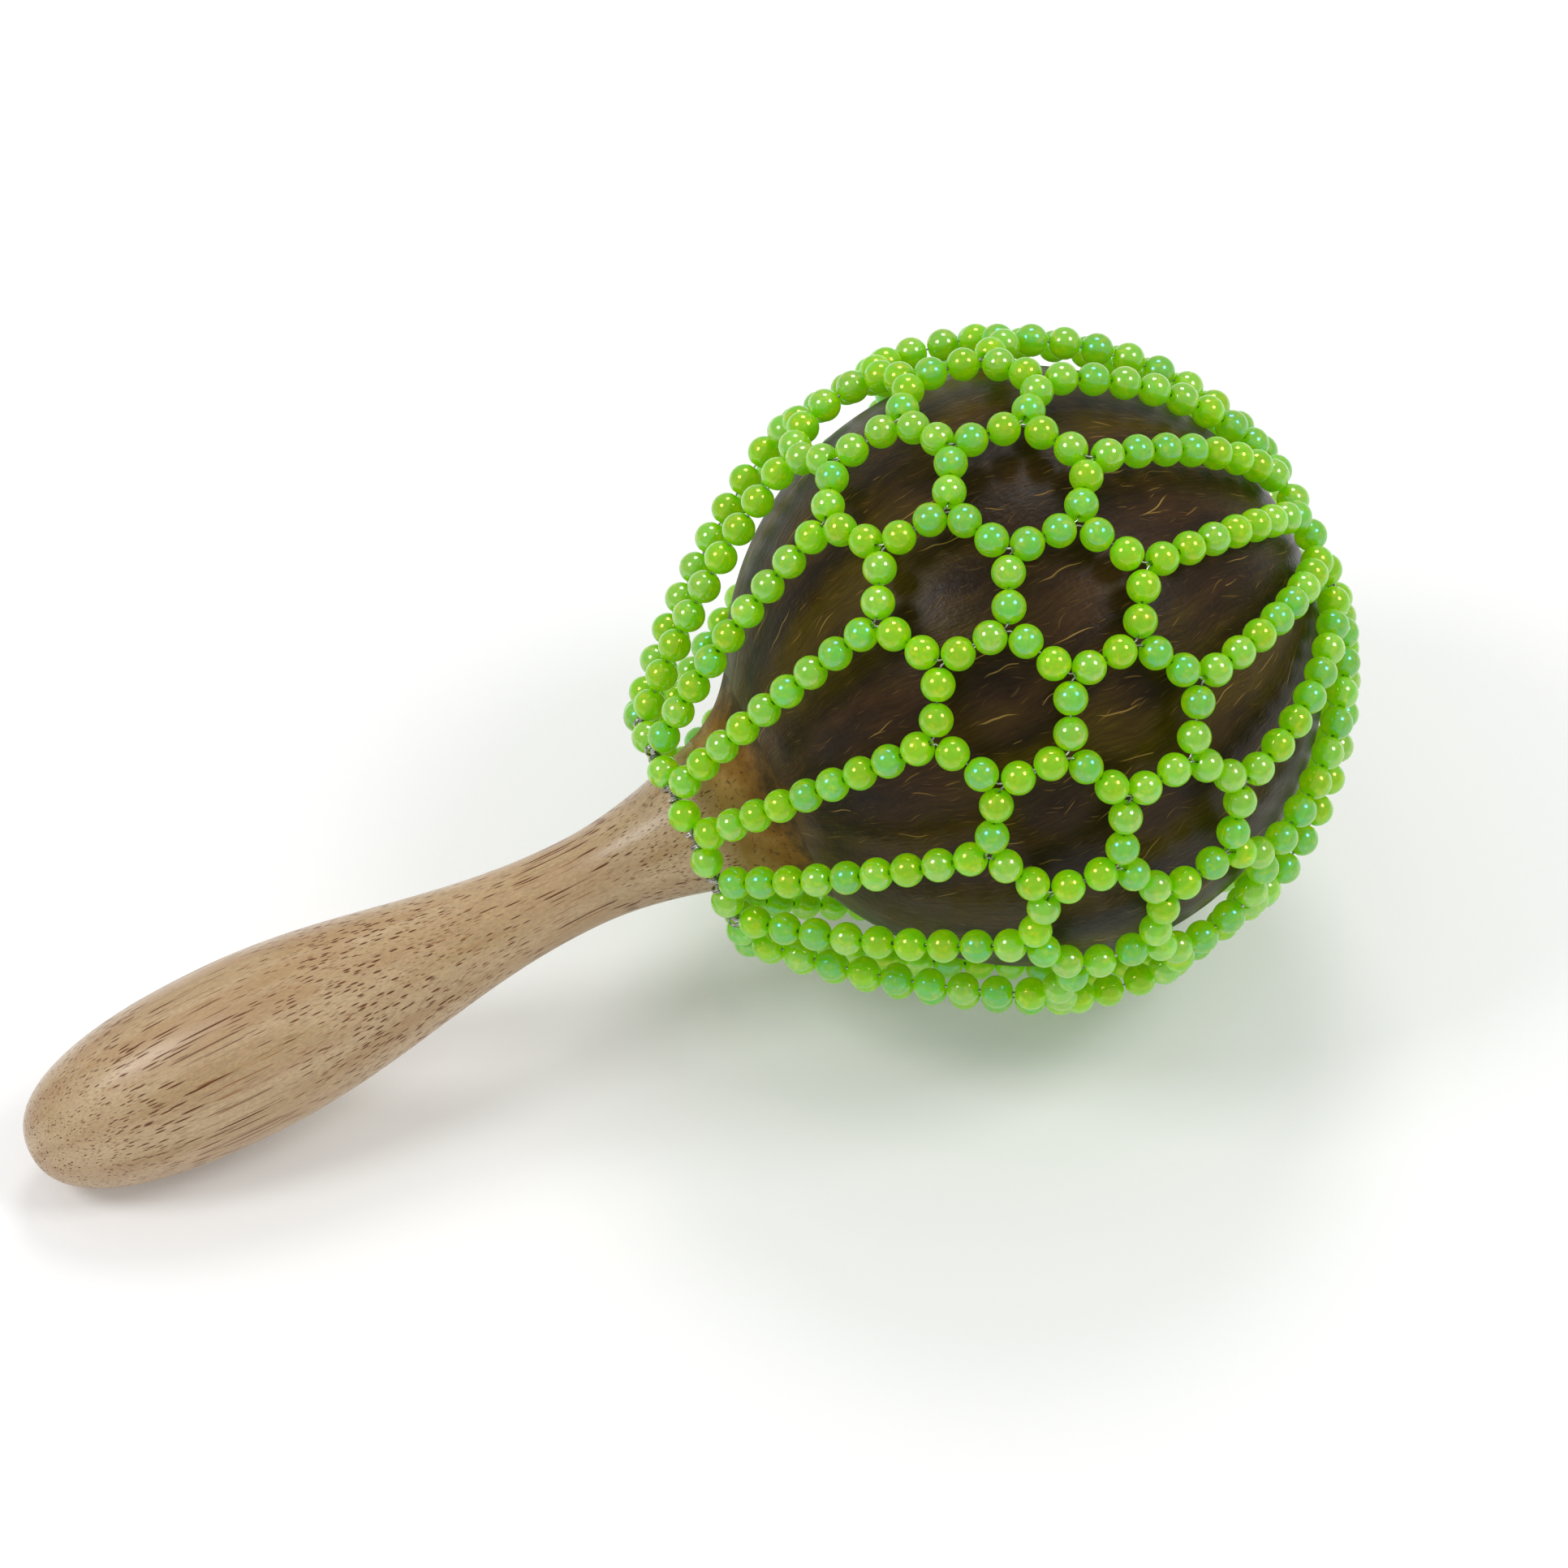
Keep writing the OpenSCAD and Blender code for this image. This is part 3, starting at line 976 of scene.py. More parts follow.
    def grain_place(self, board: Board, off: Socket) -> Socket:
        """The way round the shell and the way up it, in millimetres on its surface.

        Args:
            board: The material's board.
            off: The place from the middle of the shell.

        Returns:
            The place as [round, 0, up]. Its seam faces the table.
        """
        x, y, z = board.parts(off)
        turn = board.sum("ARCTAN2", y, board.times(x, -1.0))
        squares = board.plus(board.times(x, x), board.times(y, y))
        rise = board.sum("ARCTAN2", z, board.sum("SQRT", squares, 0.0))
        around = board.joined(turn, 0.0, rise)
        return board.vector("MULTIPLY", around, (self.shell_r, 0.0, self.shell_r))


@dataclass(frozen=True)
class Filler(Finish):
    """Golden-brown filler and glue, rubbed smooth and flecked with dust and fibres."""

    name: str = "neck_filler"
    gold: Colour = tint(170, 130, 68)
    brown: Colour = tint(138, 92, 20)
    dusk: Colour = tint(70, 50, 8)
    speck: Colour = tint(52, 36, 16)
    grit: Patches = Patches(1.1, 1.1, low=0.55, high=0.68, detail=4.0, rough=0.7, strength=0.75)
    bits: Streaks = Streaks(1.6, 3.4, width=0.12, length=1.2, chance=0.5, lean=2.4)
    bit_strength: float = 0.6
    # Where gold turns brown and brown turns to dusk, from the rim
    brown_ends: Range = (-1.0, 6.0)
    dusk_ends: Range = (5.0, 10.5)
    # The rubbed surface: its wear, its roughness, its relief and the grit's share of that
    scuffs: Triple = (5.0, 0.4, 5.0)
    rough: Range = (0.42, 0.66)
    relief_mm: float = 0.12
    grit_relief: float = 0.6

    def paint(self, board: Board, effects: Effects) -> Inputs:
        """Paints gold at the rim to dusk on the shell, with grit and bits in it.

        Args:
            board: The material's board.
            effects: The shared groups.

        Returns:
            What fills the inputs of the material's shader.
        """
        place = effects.upright(board)
        cloud = board.cloud(place, effects.fray_scale)
        browned = effects.past_rim(board, place, cloud, self.brown_ends)
        colour = board.mix(browned, self.gold, self.brown)
        darkened = effects.past_rim(board, place, cloud, self.dusk_ends)
        colour = board.mix(darkened, colour, self.dusk)
        grit = self.grit.field(board, place)
        colour = board.over(colour, self.speck, self.grit.cut(board, grit), self.grit.strength)
        bits, _ = effects.marks(board, place, self.bits)
        colour = board.over(colour, self.speck, bits, self.bit_strength)
        patches, _ = effects.wear(board, place, self.scuffs)
        relief = board.minus(board.plus(cloud, board.times(grit, self.grit_relief)), bits)
        return {
            "Base Color": colour,
            "Roughness": board.between(patches, *self.rough),
            "Normal": board.bump(relief, self.relief_mm),
            "Coat Weight": 0.1,
            "Coat Roughness": 0.3,
            "Specular IOR Level": 0.22,
        }


@dataclass(frozen=True)
class LimeBead(Finish):
    """A jelly-like lime bead under a thin film that shimmers, with a painted lime glow that lifts its
    shade.
    """

    shimmer: Shimmer
    lime: Colour = tint(148, 204, 0)
    yellow: Colour = tint(208, 216, 6)
    cool: Colour = tint(120, 208, 30)
    # A painted glow: lime light that the beads give off, though they are no lamp
    glow: Colour = tint(132, 210, 0)
    swirl: Patches = Patches(0.9, 0.9, low=0.48, high=0.68, detail=3.0, rough=0.6, strength=0.75)
    wide: Patches = Patches(0.36, 0.36, low=0.45, high=0.66, detail=1.0, strength=0.65)
    wide_shift: Triple = (31.0, 7.0, 3.0)
    # The shades from bead to bead, and the polish: its wear, its roughness and its dimples
    bead_shades: Range = (0.9, 1.06)
    scuffs: Triple = (2.2, 0.25, 3.0)
    rough: Range = (0.1, 0.18)
    dimple_scale: float = 0.55
    relief_mm: float = 0.01

    @property
    def name(self) -> str:
        """The material's name, one for each shimmer."""
        return "lime_bead_" + self.shimmer.name.lower()

    def paint(self, board: Board, effects: Effects) -> Inputs:
        """Paints swirls of yellow and of cool green, a little lighter or darker from bead to bead, and a
        painted lime glow that lifts the beads' shade.

        Args:
            board: The material's board.
            effects: The shared groups.

        Returns:
            What fills the inputs of the material's shader.
        """
        place = effects.upright(board)
        island = board.add("NewGeometry").outputs["Random Per Island"]
        colour = self.swirl.over(board, place, self.lime, self.yellow)
        shifted = board.vector("ADD", place, self.wide_shift)
        colour = self.wide.over(board, shifted, colour, self.cool)
        patches, _ = effects.wear(board, place, self.scuffs)
        return {
            "Base Color": board.shaded(colour, board.between(island, *self.bead_shades)),
            "Roughness": board.between(patches, *self.rough),
            "Normal": board.bump(board.noise(place, self.dimple_scale), self.relief_mm),
            "IOR": 1.5,
            "Transmission Weight": 0.4,
            "Subsurface Weight": 1.0,
            "Subsurface Radius": (0.7, 1.0, 0.25),
            "Subsurface Scale": 0.003,
            "Thin Film Thickness": self.shimmer.value,
            "Thin Film IOR": 1.78,
            "Specular IOR Level": 0.5,
            # The painted glow lifts the beads' shaded sides and the shade where they touch
            "Emission Color": self.glow,
            "Emission Strength": 0.15,
        }


@dataclass(frozen=True)
class SteelWire(Finish):
    """Bright drawn wire with dull patches here and there, partly wear and partly a painted dark reflection
    of the surroundings.
    """

    name: str = "steel_wire"
    bright: Colour = tint(206, 205, 201)
    dull: Colour = tint(124, 121, 114)
    scuffs: Triple = (1.4, 0.08, 2.0)
    rough: Range = (0.16, 0.34)
    relief_mm: float = 0.01

    def paint(self, board: Board, effects: Effects) -> Inputs:
        """Paints dull patches on bright metal: wear, and painted dark reflections of the surroundings.

        Args:
            board: The material's board.
            effects: The shared groups.

        Returns:
            What fills the inputs of the material's shader.
        """
        patches, hairlines = effects.wear(board, effects.upright(board), self.scuffs)
        return {
            # The dull patches are partly wear and partly painted dark reflections of the surroundings
            "Base Color": board.mix(patches, self.bright, self.dull),
            "Metallic": 1.0,
            "Roughness": board.between(patches, *self.rough),
            "Normal": board.bump(hairlines, self.relief_mm),
        }


@dataclass(frozen=True)
class PaleFloor(Finish):
    """The plain pale paper that the instrument lies on."""

    name: str = "pale_paper"
    paper: Colour = (0.9, 0.9, 0.9, 1.0)
    tooth_scale: float = 900.0
    tooth_shades: Range = (0.985, 1.0)

    def paint(self, board: Board, effects: Effects) -> Inputs:
        """Paints the paper's faint tooth.

        Args:
            board: The material's board.
            effects: The shared groups.

        Returns:
            What fills the inputs of the material's shader.
        """
        tooth = board.noise(board.add("TexCoord").outputs["Object"], self.tooth_scale)
        return {
            "Base Color": board.shaded(self.paper, board.between(tooth, *self.tooth_shades)),
            "Roughness": 0.85,
            "Specular IOR Level": 0.1,
            "Emission Color": self.paper,
            "Emission Strength": 0.13,
        }


# Sub-assemblies


def lump(place: Vector) -> float:
    """Smooth noise from 0 to 1 at a place."""
    return 0.5 + 0.5 * noise.noise(place)


def ripple(az: float, size: float, level: float) -> float:
    """Smooth noise from -1 to 1 round a circle of a size, at a level of the noise."""
    return noise.noise(Vector((math.cos(az) * size, math.sin(az) * size, level)))


@dataclass
class Handle:
    """The turned handle, from the butt at station 0 to the end of its tenon."""

    grip_d: float = 0.0319
    grip_len: float = 0.040
    butt_power: float = 2.4
    waist_d: float = 0.0164
    taper_len: float = 0.066
    flare_d: float = 0.0284
    flare_len: float = 0.030
    neck_d: float = 0.026
    neck_len: float = 0.0047
    tenon_d: float = 0.014
    tenon_len: float = 0.012
    tenon_chamfer: float = 0.001
    # Rubbing by hand: how deep it goes, and the scale per metre of its lumps
    unevenness: float = 0.00016
    lump_scale: Triple = (60.0, 60.0, 28.0)
    # How the faces crowd at the butt, how many there are, and where an edge is sharp
    butt_crowding: float = 1.7
    segments: int = 144
    stations: int = 200
    under_points: int = 4000
    crease: float = math.radians(40)

    @property
    def waist_z(self) -> float:
        """The station of the waist."""
        return self.grip_len + self.taper_len

    @property
    def rim_z(self) -> float:
        """The station of the flare's rim."""
        return self.waist_z + self.flare_len

    @property
    def shoulder_z(self) -> float:
        """The station of the shoulder that seats on the shell."""
        return self.rim_z + self.neck_len

    def radius_at(self, z: float) -> float:
        """The handle's radius at a station from the butt to the rim.

        Args:
            z: The station.

        Returns:
            The radius.
        """
        if z < self.grip_len:
            share = 1 - z / self.grip_len
            return self.grip_d / 2 * (1 - share**self.butt_power) ** (1 / self.butt_power)
        if z < self.waist_z:
            turn = math.pi * (z - self.grip_len) / self.taper_len
            return self.waist_d / 2 + (self.grip_d - self.waist_d) / 4 * (1 + math.cos(turn))
        turn = QUARTER * (z - self.waist_z) / self.flare_len
        return self.waist_d / 2 + (self.flare_d - self.waist_d) / 2 * (1 - math.cos(turn))

    def outline(self) -> Point:
        """The outline from the butt's pole to the tenon's end, closer set at the butt.

        Returns:
            Its [radius, station] points.
        """
        shares = np.linspace(0, 1, self.stations)
        bases = self.rim_z * shares**self.butt_crowding
        turned = [(self.radius_at(z), z) for z in bases]
        end = self.shoulder_z + self.tenon_len
        neck_r, tenon_r, cut = self.neck_d / 2, self.tenon_d / 2, self.tenon_chamfer
        turned += [(neck_r, self.rim_z), (neck_r, self.shoulder_z), (tenon_r, self.shoulder_z)]
        turned += [(tenon_r, end - cut), (tenon_r - cut, end), (0.0, end)]
        return np.array(turned)

    def underside(self) -> Point:
        """Points down the side that faces the table."""
        stations = np.linspace(0, self.rim_z, self.under_points)
        return np.array([(self.radius_at(z), 0.0, z) for z in stations])

    def uneven(self, form: Form) -> None:
        """Rubs the turned surface down a little here and there, as sanding by hand does.

        Args:
            form: The handle's form, changed in place.
        """
        for i, point in enumerate(form.points):
            if 0 < point[2] <= self.rim_z:
                rub = self.unevenness * lump(Vector(point * np.array(self.lump_scale)))
                reach = math.hypot(point[0], point[1])
                form.points[i, :2] *= max(0.0, 1 - rub / max(reach, rub))

    def build(self, lie: Lie, finish: Material) -> Piece:
        """Turns the handle and puts it in its place.

        Args:
            lie: How the instrument lies.
            finish: The wood.

        Returns:
            The piece.
        """
        form = Form.turned(self.outline(), self.segments)
        self.uneven(form)
        piece = make_piece("turned_handle", [form], lie, [finish])
        piece.data.set_sharp_from_angle(angle=self.crease)
        return enlist(piece, Body.SHELL, Slot.WOOD, "handle")


@dataclass
class CoconutShell:
    """The hollow coconut shell, its hole towards the handle."""

    near_z: float
    hole_d: float
    width: float = 0.1054
    length: float = 0.1044
    wall: float = 0.004
    # Flats between ridges: their depth, their number, their turn and their slant
    ridges: float = 0.00022
    flats: int = 3
    flats_turn: float = 0.7
    flats_slant: float = 0.3
    # Lumps: their depth, and the scale per metre and the share of broad and of small ones
    lumps: float = 0.0004
    broad_scale: float = 32.0
    broad_share: float = 0.7
    small_scale: float = 140.0
    small_share: float = 0.16
    # Near the hole the shell is a plain oval: up to what height, and how fast that fades
    plain_below: float = -0.93
    plain_fade: float = 8.0
    segments: int = 224
    rings: int = 150
    crease: float = math.radians(50)

    @property
    def middle_z(self) -> float:
        """The station of its middle."""
        return self.near_z + self.length / 2

    def oval(self, inset: float, count: int) -> Point:
        """Half of an oval from its hole to the crown.

        Args:
            inset: How far it lies inside the outer face.
            count: How many points it has.

        Returns:
            Its [radius, station] points.
        """
        r, h = self.width / 2 - inset, self.length / 2 - inset
        turns = np.linspace(-math.acos(self.hole_d / 2 / r), QUARTER, count)
        return np.array([(r * math.cos(a), self.middle_z + h * math.sin(a)) for a in turns])

    def rub_at(self, point: Point) -> float:
        """How far the surface lies inside the plain oval at a point of it.

        Args:
            point: The point, upright.

        Returns:
            The depth, from shallow flats between ridges and from lumps. It fades at the hole.
        """
        az = math.atan2(point[1], point[0])
        height = (point[2] - self.middle_z) / (self.length / 2)
        flat = 0.5 - 0.5 * math.cos(self.flats * az + self.flats_turn + self.flats_slant * height)
        broad = self.lumps * lump(Vector(point) * self.broad_scale) * self.broad_share
        small = self.lumps * lump(Vector(point) * self.small_scale) * self.small_share
        fade = min(1.0, max(0.0, (height - self.plain_below) * self.plain_fade))
        return fade * (self.ridges * flat * (1 - height**2) + broad + small)

    def build(self, lie: Lie, finish: Material) -> Piece:
        """Shapes the shell and puts it in its place.

        Args:
            lie: How the instrument lies.
            finish: The coconut.

        Returns:
            The piece.
        """
        outer, inner = self.oval(0.0, self.rings), self.oval(self.wall, self.rings // 3)
        outer[-1, 0] = inner[-1, 0] = 0.0
        skin = Form.turned(outer, self.segments)
        middle = np.array([0.0, 0.0, self.middle_z])
        for i, point in enumerate(skin.points):
            skin.points[i] = point - unit(point - middle) * self.rub_at(point)
        hollow = Form.turned(inner[::-1], self.segments)
        hole = Form.turned(np.array([inner[0], outer[0]]), self.segments)
        piece = make_piece("coconut_shell_polished", [skin, hollow, hole], lie, [finish])
        piece.data.set_sharp_from_angle(angle=self.crease)
        return enlist(piece, Body.SHELL, Slot.COCONUT, "coconut_shell")


@dataclass
class NeckFiller:
    """The fillet of filler between the flare and the shell."""

    handle: Handle
    shell: CoconutShell
    # The hollow curve: its width on the shell, and where it bends on its way there
    width: float = 0.046
    bend_out: float = 0.3
    bend_along: float = 0.62
    # How uneven its edge on the shell is, and how deep it sits in
    feather: float = 0.0012
    seat: float = 0.0007
    # The smear over the flare: how far it laps, the stations of its points, its thickness
    lap: float = 0.0022
    smear: tuple[float, ...] = (1.0, 0.93, 0.5)
    film: float = 0.00005
    # The waves and ripples of its edges, and the grit on its face
    wave_size: float = 2.2
    wave_level: float = 0.4
    ripple_size: float = 9.0
    ripple_level: float = 5.4
    grit: float = 0.00012
    grit_scale: float = 190.0
    segments: int = 160
    steps: int = 26
    crease: float = math.radians(60)

    def line(self, width: float, lap: float) -> Point:
        """The smear over the flare and the hollow curve from its rim to the shell.

        Args:
            width: How wide the filler is where it feathers out.
            lap: How far it laps over the flare.

        Returns:
            Its [radius, station] points.
        """
        rise = self.shell.length / 2 * math.sqrt(1 - (width / self.shell.width) ** 2)
        rim = np.array([self.handle.flare_d / 2, self.handle.rim_z])
        end = np.array([width / 2, self.shell.middle_z - rise])
        bend = rim + np.array([self.bend_out, self.bend_along]) * (end - rim)
        shares = np.linspace(0, 1, self.steps)
        curve = [(1 - s) ** 2 * rim + 2 * s * (1 - s) * bend + s * s * end for s in shares]
        smear = []
        for back in self.smear:
            z = rim[1] - lap * back
            smear.append(np.array([self.handle.radius_at(z) + self.film * (back < 1), z]))
        return np.array([*smear, *curve])

    def sink(self, line: Point, az: float) -> None:
        """Follows the rubbed shell with the feathered end of a line, so that no step shows.

        Args:
            line: The line's [radius, station] points, changed in place.
            az: Its azimuth.
        """
        middle = np.array([0.0, self.shell.middle_z])
        depth = self.shell.rub_at(spot(line[-1], az)) + self.film
        for back in range(1, self.steps // 2):
            share = 1 - (back - 1) / (self.steps // 2)
            line[-back] -= unit(line[-back] - middle) * depth * share**2

    def build(self, lie: Lie, finish: Material) -> Piece:
        """Lays the filler round the neck, its feathered edge uneven.

        Args:
            lie: How the instrument lies.
            finish: The filler.

        Returns:
            The piece.
        """
        free = range(len(self.smear) + 1, len(self.smear) + self.steps - 1)
        columns = []
        for j in range(self.segments):
            az = FULL * j / self.segments
            wave = ripple(az, self.wave_size, self.wave_level)
            fine = ripple(az, self.ripple_size, self.ripple_level)
            width = self.width - self.feather * (1 + wave)
            line = self.line(width, self.lap * (0.5 + 0.3 * wave + 0.35 * fine))
            self.sink(line, az)
            seat = line[-1] + np.array([-self.seat, self.seat])
            inner = np.array([self.handle.neck_d / 2, self.shell.near_z + self.seat])
            under = line[0] + np.array([-self.seat, self.seat / 2])
            for i in free:
                out = noise.noise(Vector(spot(line[i], az)) * self.grit_scale) * self.grit
                line[i] += np.array([out, -out])
            columns.append([spot(p, az) for p in (*line, seat, inner, under)])
        rings = np.array(columns).swapaxes(0, 1)
        piece = make_piece("neck_filler_fillet", [Form.of_rings(rings, closed=True)], lie, [finish])
        piece.data.set_sharp_from_angle(angle=self.crease)
        return enlist(piece, Body.SHELL, Slot.FILLER, "neck_filler")


@dataclass
class NetPlan:
    """Where each bead, ring and wire of the net lies on the upright instrument."""

    shell: CoconutShell
    # The beads, the gap between two, and how many are on an arm or a link
    bead_d: float = 0.0057
    bead_gap: float = 0.00004
    mesh_beads: int = 2
    # From a junction to its first bead, as a share of a bead, and how far the arms lean
    fork_share: float = 0.605
    zigzag_angle: float = math.radians(26)
    # The room between beads and shell: at the crown, and the more along the axis and round it
    crown_clear: float = 0.0003
    net_sag: float = 0.002
    net_slack: float = 0.0025
    # How far behind the net's middle its belt is, and behind the shell its collar
    belt_back: float = 0.0007
    collar_back: float = 0.0117
    # Half of the angle that a lower strand bends through
    strand_bow: float = math.radians(10)
    # The wires, how far each runs beside its column, and the ring wires
    wire_d: float = 0.00036
    wire_side: float = 0.00024
    ring_wire_d: float = 0.0006
    # The wraps as constructed, and the room for the wires between two crown beads
    wrap_clear: float = 0.00006
    wrap_turns: float = 1.25
    wrap_pitch: float = 0.0008
    wrap_sides: int = 8
    crown_tie: float = 0.001

    @property
    def pitch(self) -> float:
        """Between the middles of two beads that follow each other."""
        return self.bead_d + self.bead_gap

    @property
    def fork(self) -> float:
        """From a junction to the middle of the first bead."""
        return self.fork_share * self.bead_d

    @property
    def arm(self) -> float:
        """The length of an arm or a link."""
        return 2 * self.fork + (self.mesh_beads - 1) * self.pitch

    @property
    def net_r(self) -> float:
        """The radius of the oval that the middles of the beads lie on."""
        return (self.shell.width + self.bead_d) / 2 + self.crown_clear + self.net_slack

    @property
    def net_h(self) -> float:
        """Half of that oval's length."""
        return (self.shell.length + self.bead_d) / 2 + self.crown_clear + self.net_sag

    @property
    def net_z(self) -> float:
        """The station of that oval's middle."""
        return self.shell.middle_z - self.net_sag

    @cached_property
    def columns(self) -> int:
        """How many columns go round."""
        return round(QUARTER / math.asin(self.arm * math.cos(self.zigzag_angle) / (2 * self.net_r)))

    @property
    def half(self) -> float:
        """Half of the turn from column to column."""
        return math.pi / self.columns

    def on_net(self, lat: float) -> Point:
        """The point of the oval at a latitude."""
        return np.array([self.net_r * math.cos(lat), self.net_z + self.net_h * math.sin(lat)])

    def reach(self, lat: float, end: float, turn: float) -> float:
        """How much longer than it should be an arm between two latitudes is.

        Args:
            lat: The latitude that it starts from.
            end: The latitude that it ends at.
            turn: How far it turns round the axis.

        Returns:
            The length that is too much.
        """
        length = self.arm
        if turn:
            r = min(self.on_net(lat)[0], self.on_net(end)[0])
            room = (self.mesh_beads - 1) * self.pitch / (1 - self.pitch / (r * math.sin(self.half)))
            length = max(length, room)
        return float(np.linalg.norm(spot(self.on_net(end), turn) - spot(self.on_net(lat), 0.0))) - length

    def next_lat(self, lat: float, turn: float, way: int) -> float:
        """The latitude of the next row of junctions.

        Args:
            lat: The latitude of this row.
            turn: How far the arm turns round the axis.
            way: 1 towards the crown, -1 towards the handle.

        Returns:
            The latitude.
        """
        def is_long(span: float) -> bool:
            """Whether an arm over that span is too long."""
            return self.reach(lat, lat + way * span, turn) > 0

        return lat + way * last_before(MOST_SPAN, is_long)

    @cached_property
    def forks(self) -> list[Point]:
        """The six rows of junctions, from the handle to the crown.

        Returns:
            A [radius, station] point for each row.
        """
        third = -math.asin(self.belt_back / self.net_h)
        second = self.next_lat(third, 0.0, -1)
        lats = [self.next_lat(second, self.half, -1), second, third]
        for turn in (self.half, 0.0, self.half):
            lats.append(self.next_lat(lats[-1], turn, 1))
        return [self.on_net(lat) for lat in lats]

    @property
    def wrap_r(self) -> float:
        """From the middle of a ring wire to the middle of what is wrapped round it."""
        laid = (self.ring_wire_d + self.wire_d) / 2 + self.wrap_clear
        return laid / math.cos(math.pi / self.wrap_sides)

    @cached_property
    def collar_ring(self) -> Point:
        """The collar ring wire.

        Returns:
            The middle of the wire, as a [radius, station] point.
        """
        wrap = self.wire_side + self.wrap_turns * self.wrap_pitch + self.wire_d / 2
        radius = (self.bead_d / 2 + wrap + self.wrap_clear) / math.sin(self.half)
        return np.array([radius, self.shell.near_z - self.collar_back])

    @cached_property
    def crown_ring(self) -> Point:
        """The crown ring wire, as a [radius, station] point."""
        radius = (self.bead_d + self.crown_tie) / 2 / math.sin(self.half)
        return np.array([radius, self.net_z + self.net_h * math.sqrt(1 - (radius / self.net_r) ** 2)])

    @cached_property
    def lower_arc(self) -> Arc:
        """The strands from the collar to the mesh."""
        return Arc.between(self.collar_ring, self.forks[0], self.strand_bow)

    @cached_property
    def upper_arc(self) -> Arc:
        """The strands from the mesh to the crown."""
        chord = float(np.linalg.norm(self.crown_ring - self.forks[-1]))
        return Arc.between(self.forks[-1], self.crown_ring, math.asin(chord / (self.net_r + self.net_h)))

    def stand(self, ring: Point) -> float:
        """From a ring wire to the first bead of a strand, clear of the ring's own beads."""
        return math.sqrt(self.pitch**2 - (ring[0] * math.sin(self.half)) ** 2) + 3 * self.bead_gap

    def spaced(self, first: float, run: float) -> list[float]:
        """As many places along a run as beads fit, with its two ends."""
        count = math.floor(run / self.pitch) + 1
        return [first + run * i / (count - 1) for i in range(count)]

    @cached_property
    def lower_places(self) -> list[float]:
        """Where the beads of a lower strand sit.

        Returns:
            The way along the strand to the middle of each.
        """
        least = self.wrap_r + (self.wire_d + self.bead_d) / 2 + self.bead_gap
        first = max(self.stand(self.collar_ring), least)
        return self.spaced(first, self.lower_arc.length - first - self.fork)

    @cached_property
    def upper_places(self) -> list[float]:
        """Where the beads of an upper strand sit along it."""
        return self.spaced(self.fork, self.upper_arc.length - self.fork - self.stand(self.crown_ring))

    def column(self, k: int, shift: float = 0.0) -> float:
        """The azimuth of a column."""
        return 2 * self.half * k + shift

    @staticmethod
    def strand(arc: Arc, places: list[float], az: float) -> list[Bead]:
        """The beads of one strand, as middles and directions."""
        return [(spot(arc.at(s), az), spot(arc.way(s), az)) for s in places]

    def arm_beads(self, p: Point, q: Point) -> list[Bead]:
        """The beads between two junctions."""
        way, middle = unit(q - p), (self.mesh_beads - 1) / 2
        return [((p + q) / 2 + (i - middle) * self.pitch * way, way) for i in range(self.mesh_beads)]

    def mesh_row(self, low: int, shift: float, turns: tuple[float, ...]) -> list[Bead]:
        """The beads of a row of arms or links.

        Args:
            low: The row of junctions that they rise from.
            shift: The azimuth of its first junction.
            turns: How far round each arm goes from its junction.

        Returns:
            The beads.
        """
        beads: list[Bead] = []
        for k in range(self.columns):
            start = spot(self.forks[low], self.column(k, shift))
            for turn in turns:
                beads += self.arm_beads(start, spot(self.forks[low + 1], self.column(k, shift + turn)))
        return beads

    def ring_beads(self, ring: Point, shift: float) -> list[Bead]:
        """The beads of a ring."""
        turns = [self.column(k, shift) for k in range(self.columns)]
        return [(spot(ring, az), np.array([-math.sin(az), math.cos(az), 0.0])) for az in turns]

    @cached_property
    def rows(self) -> dict[str, list[Bead]]:
        """The beads of each node of the net.

        Returns:
            The middles and directions of a node's beads, by the node's name.
        """
        both = (-self.half, self.half)
        rows = {
            "collar_beads": self.ring_beads(self.collar_ring, self.half),
            "lower_zigzag": self.mesh_row(0, 0.0, both),
            "lower_links": self.mesh_row(1, self.half, (0.0,)),
            "middle_zigzag": self.mesh_row(2, self.half, both),
            "upper_links": self.mesh_row(3, 0.0, (0.0,)),
            "upper_zigzag": self.mesh_row(4, 0.0, both),
            "crown_beads": self.ring_beads(self.crown_ring, 0.0),
        }
        for k in range(self.columns):
            lower, upper = self.column(k), self.column(k, self.half)
            rows[f"lower_strand_{k + 1:02d}"] = self.strand(self.lower_arc, self.lower_places, lower)
            rows[f"upper_strand_{k + 1:02d}"] = self.strand(self.upper_arc, self.upper_places, upper)
        return rows

    @cached_property
    def middles(self) -> Point:
        """The middles of all the beads."""
        return np.array([middle for row in self.rows.values() for middle, _ in row])


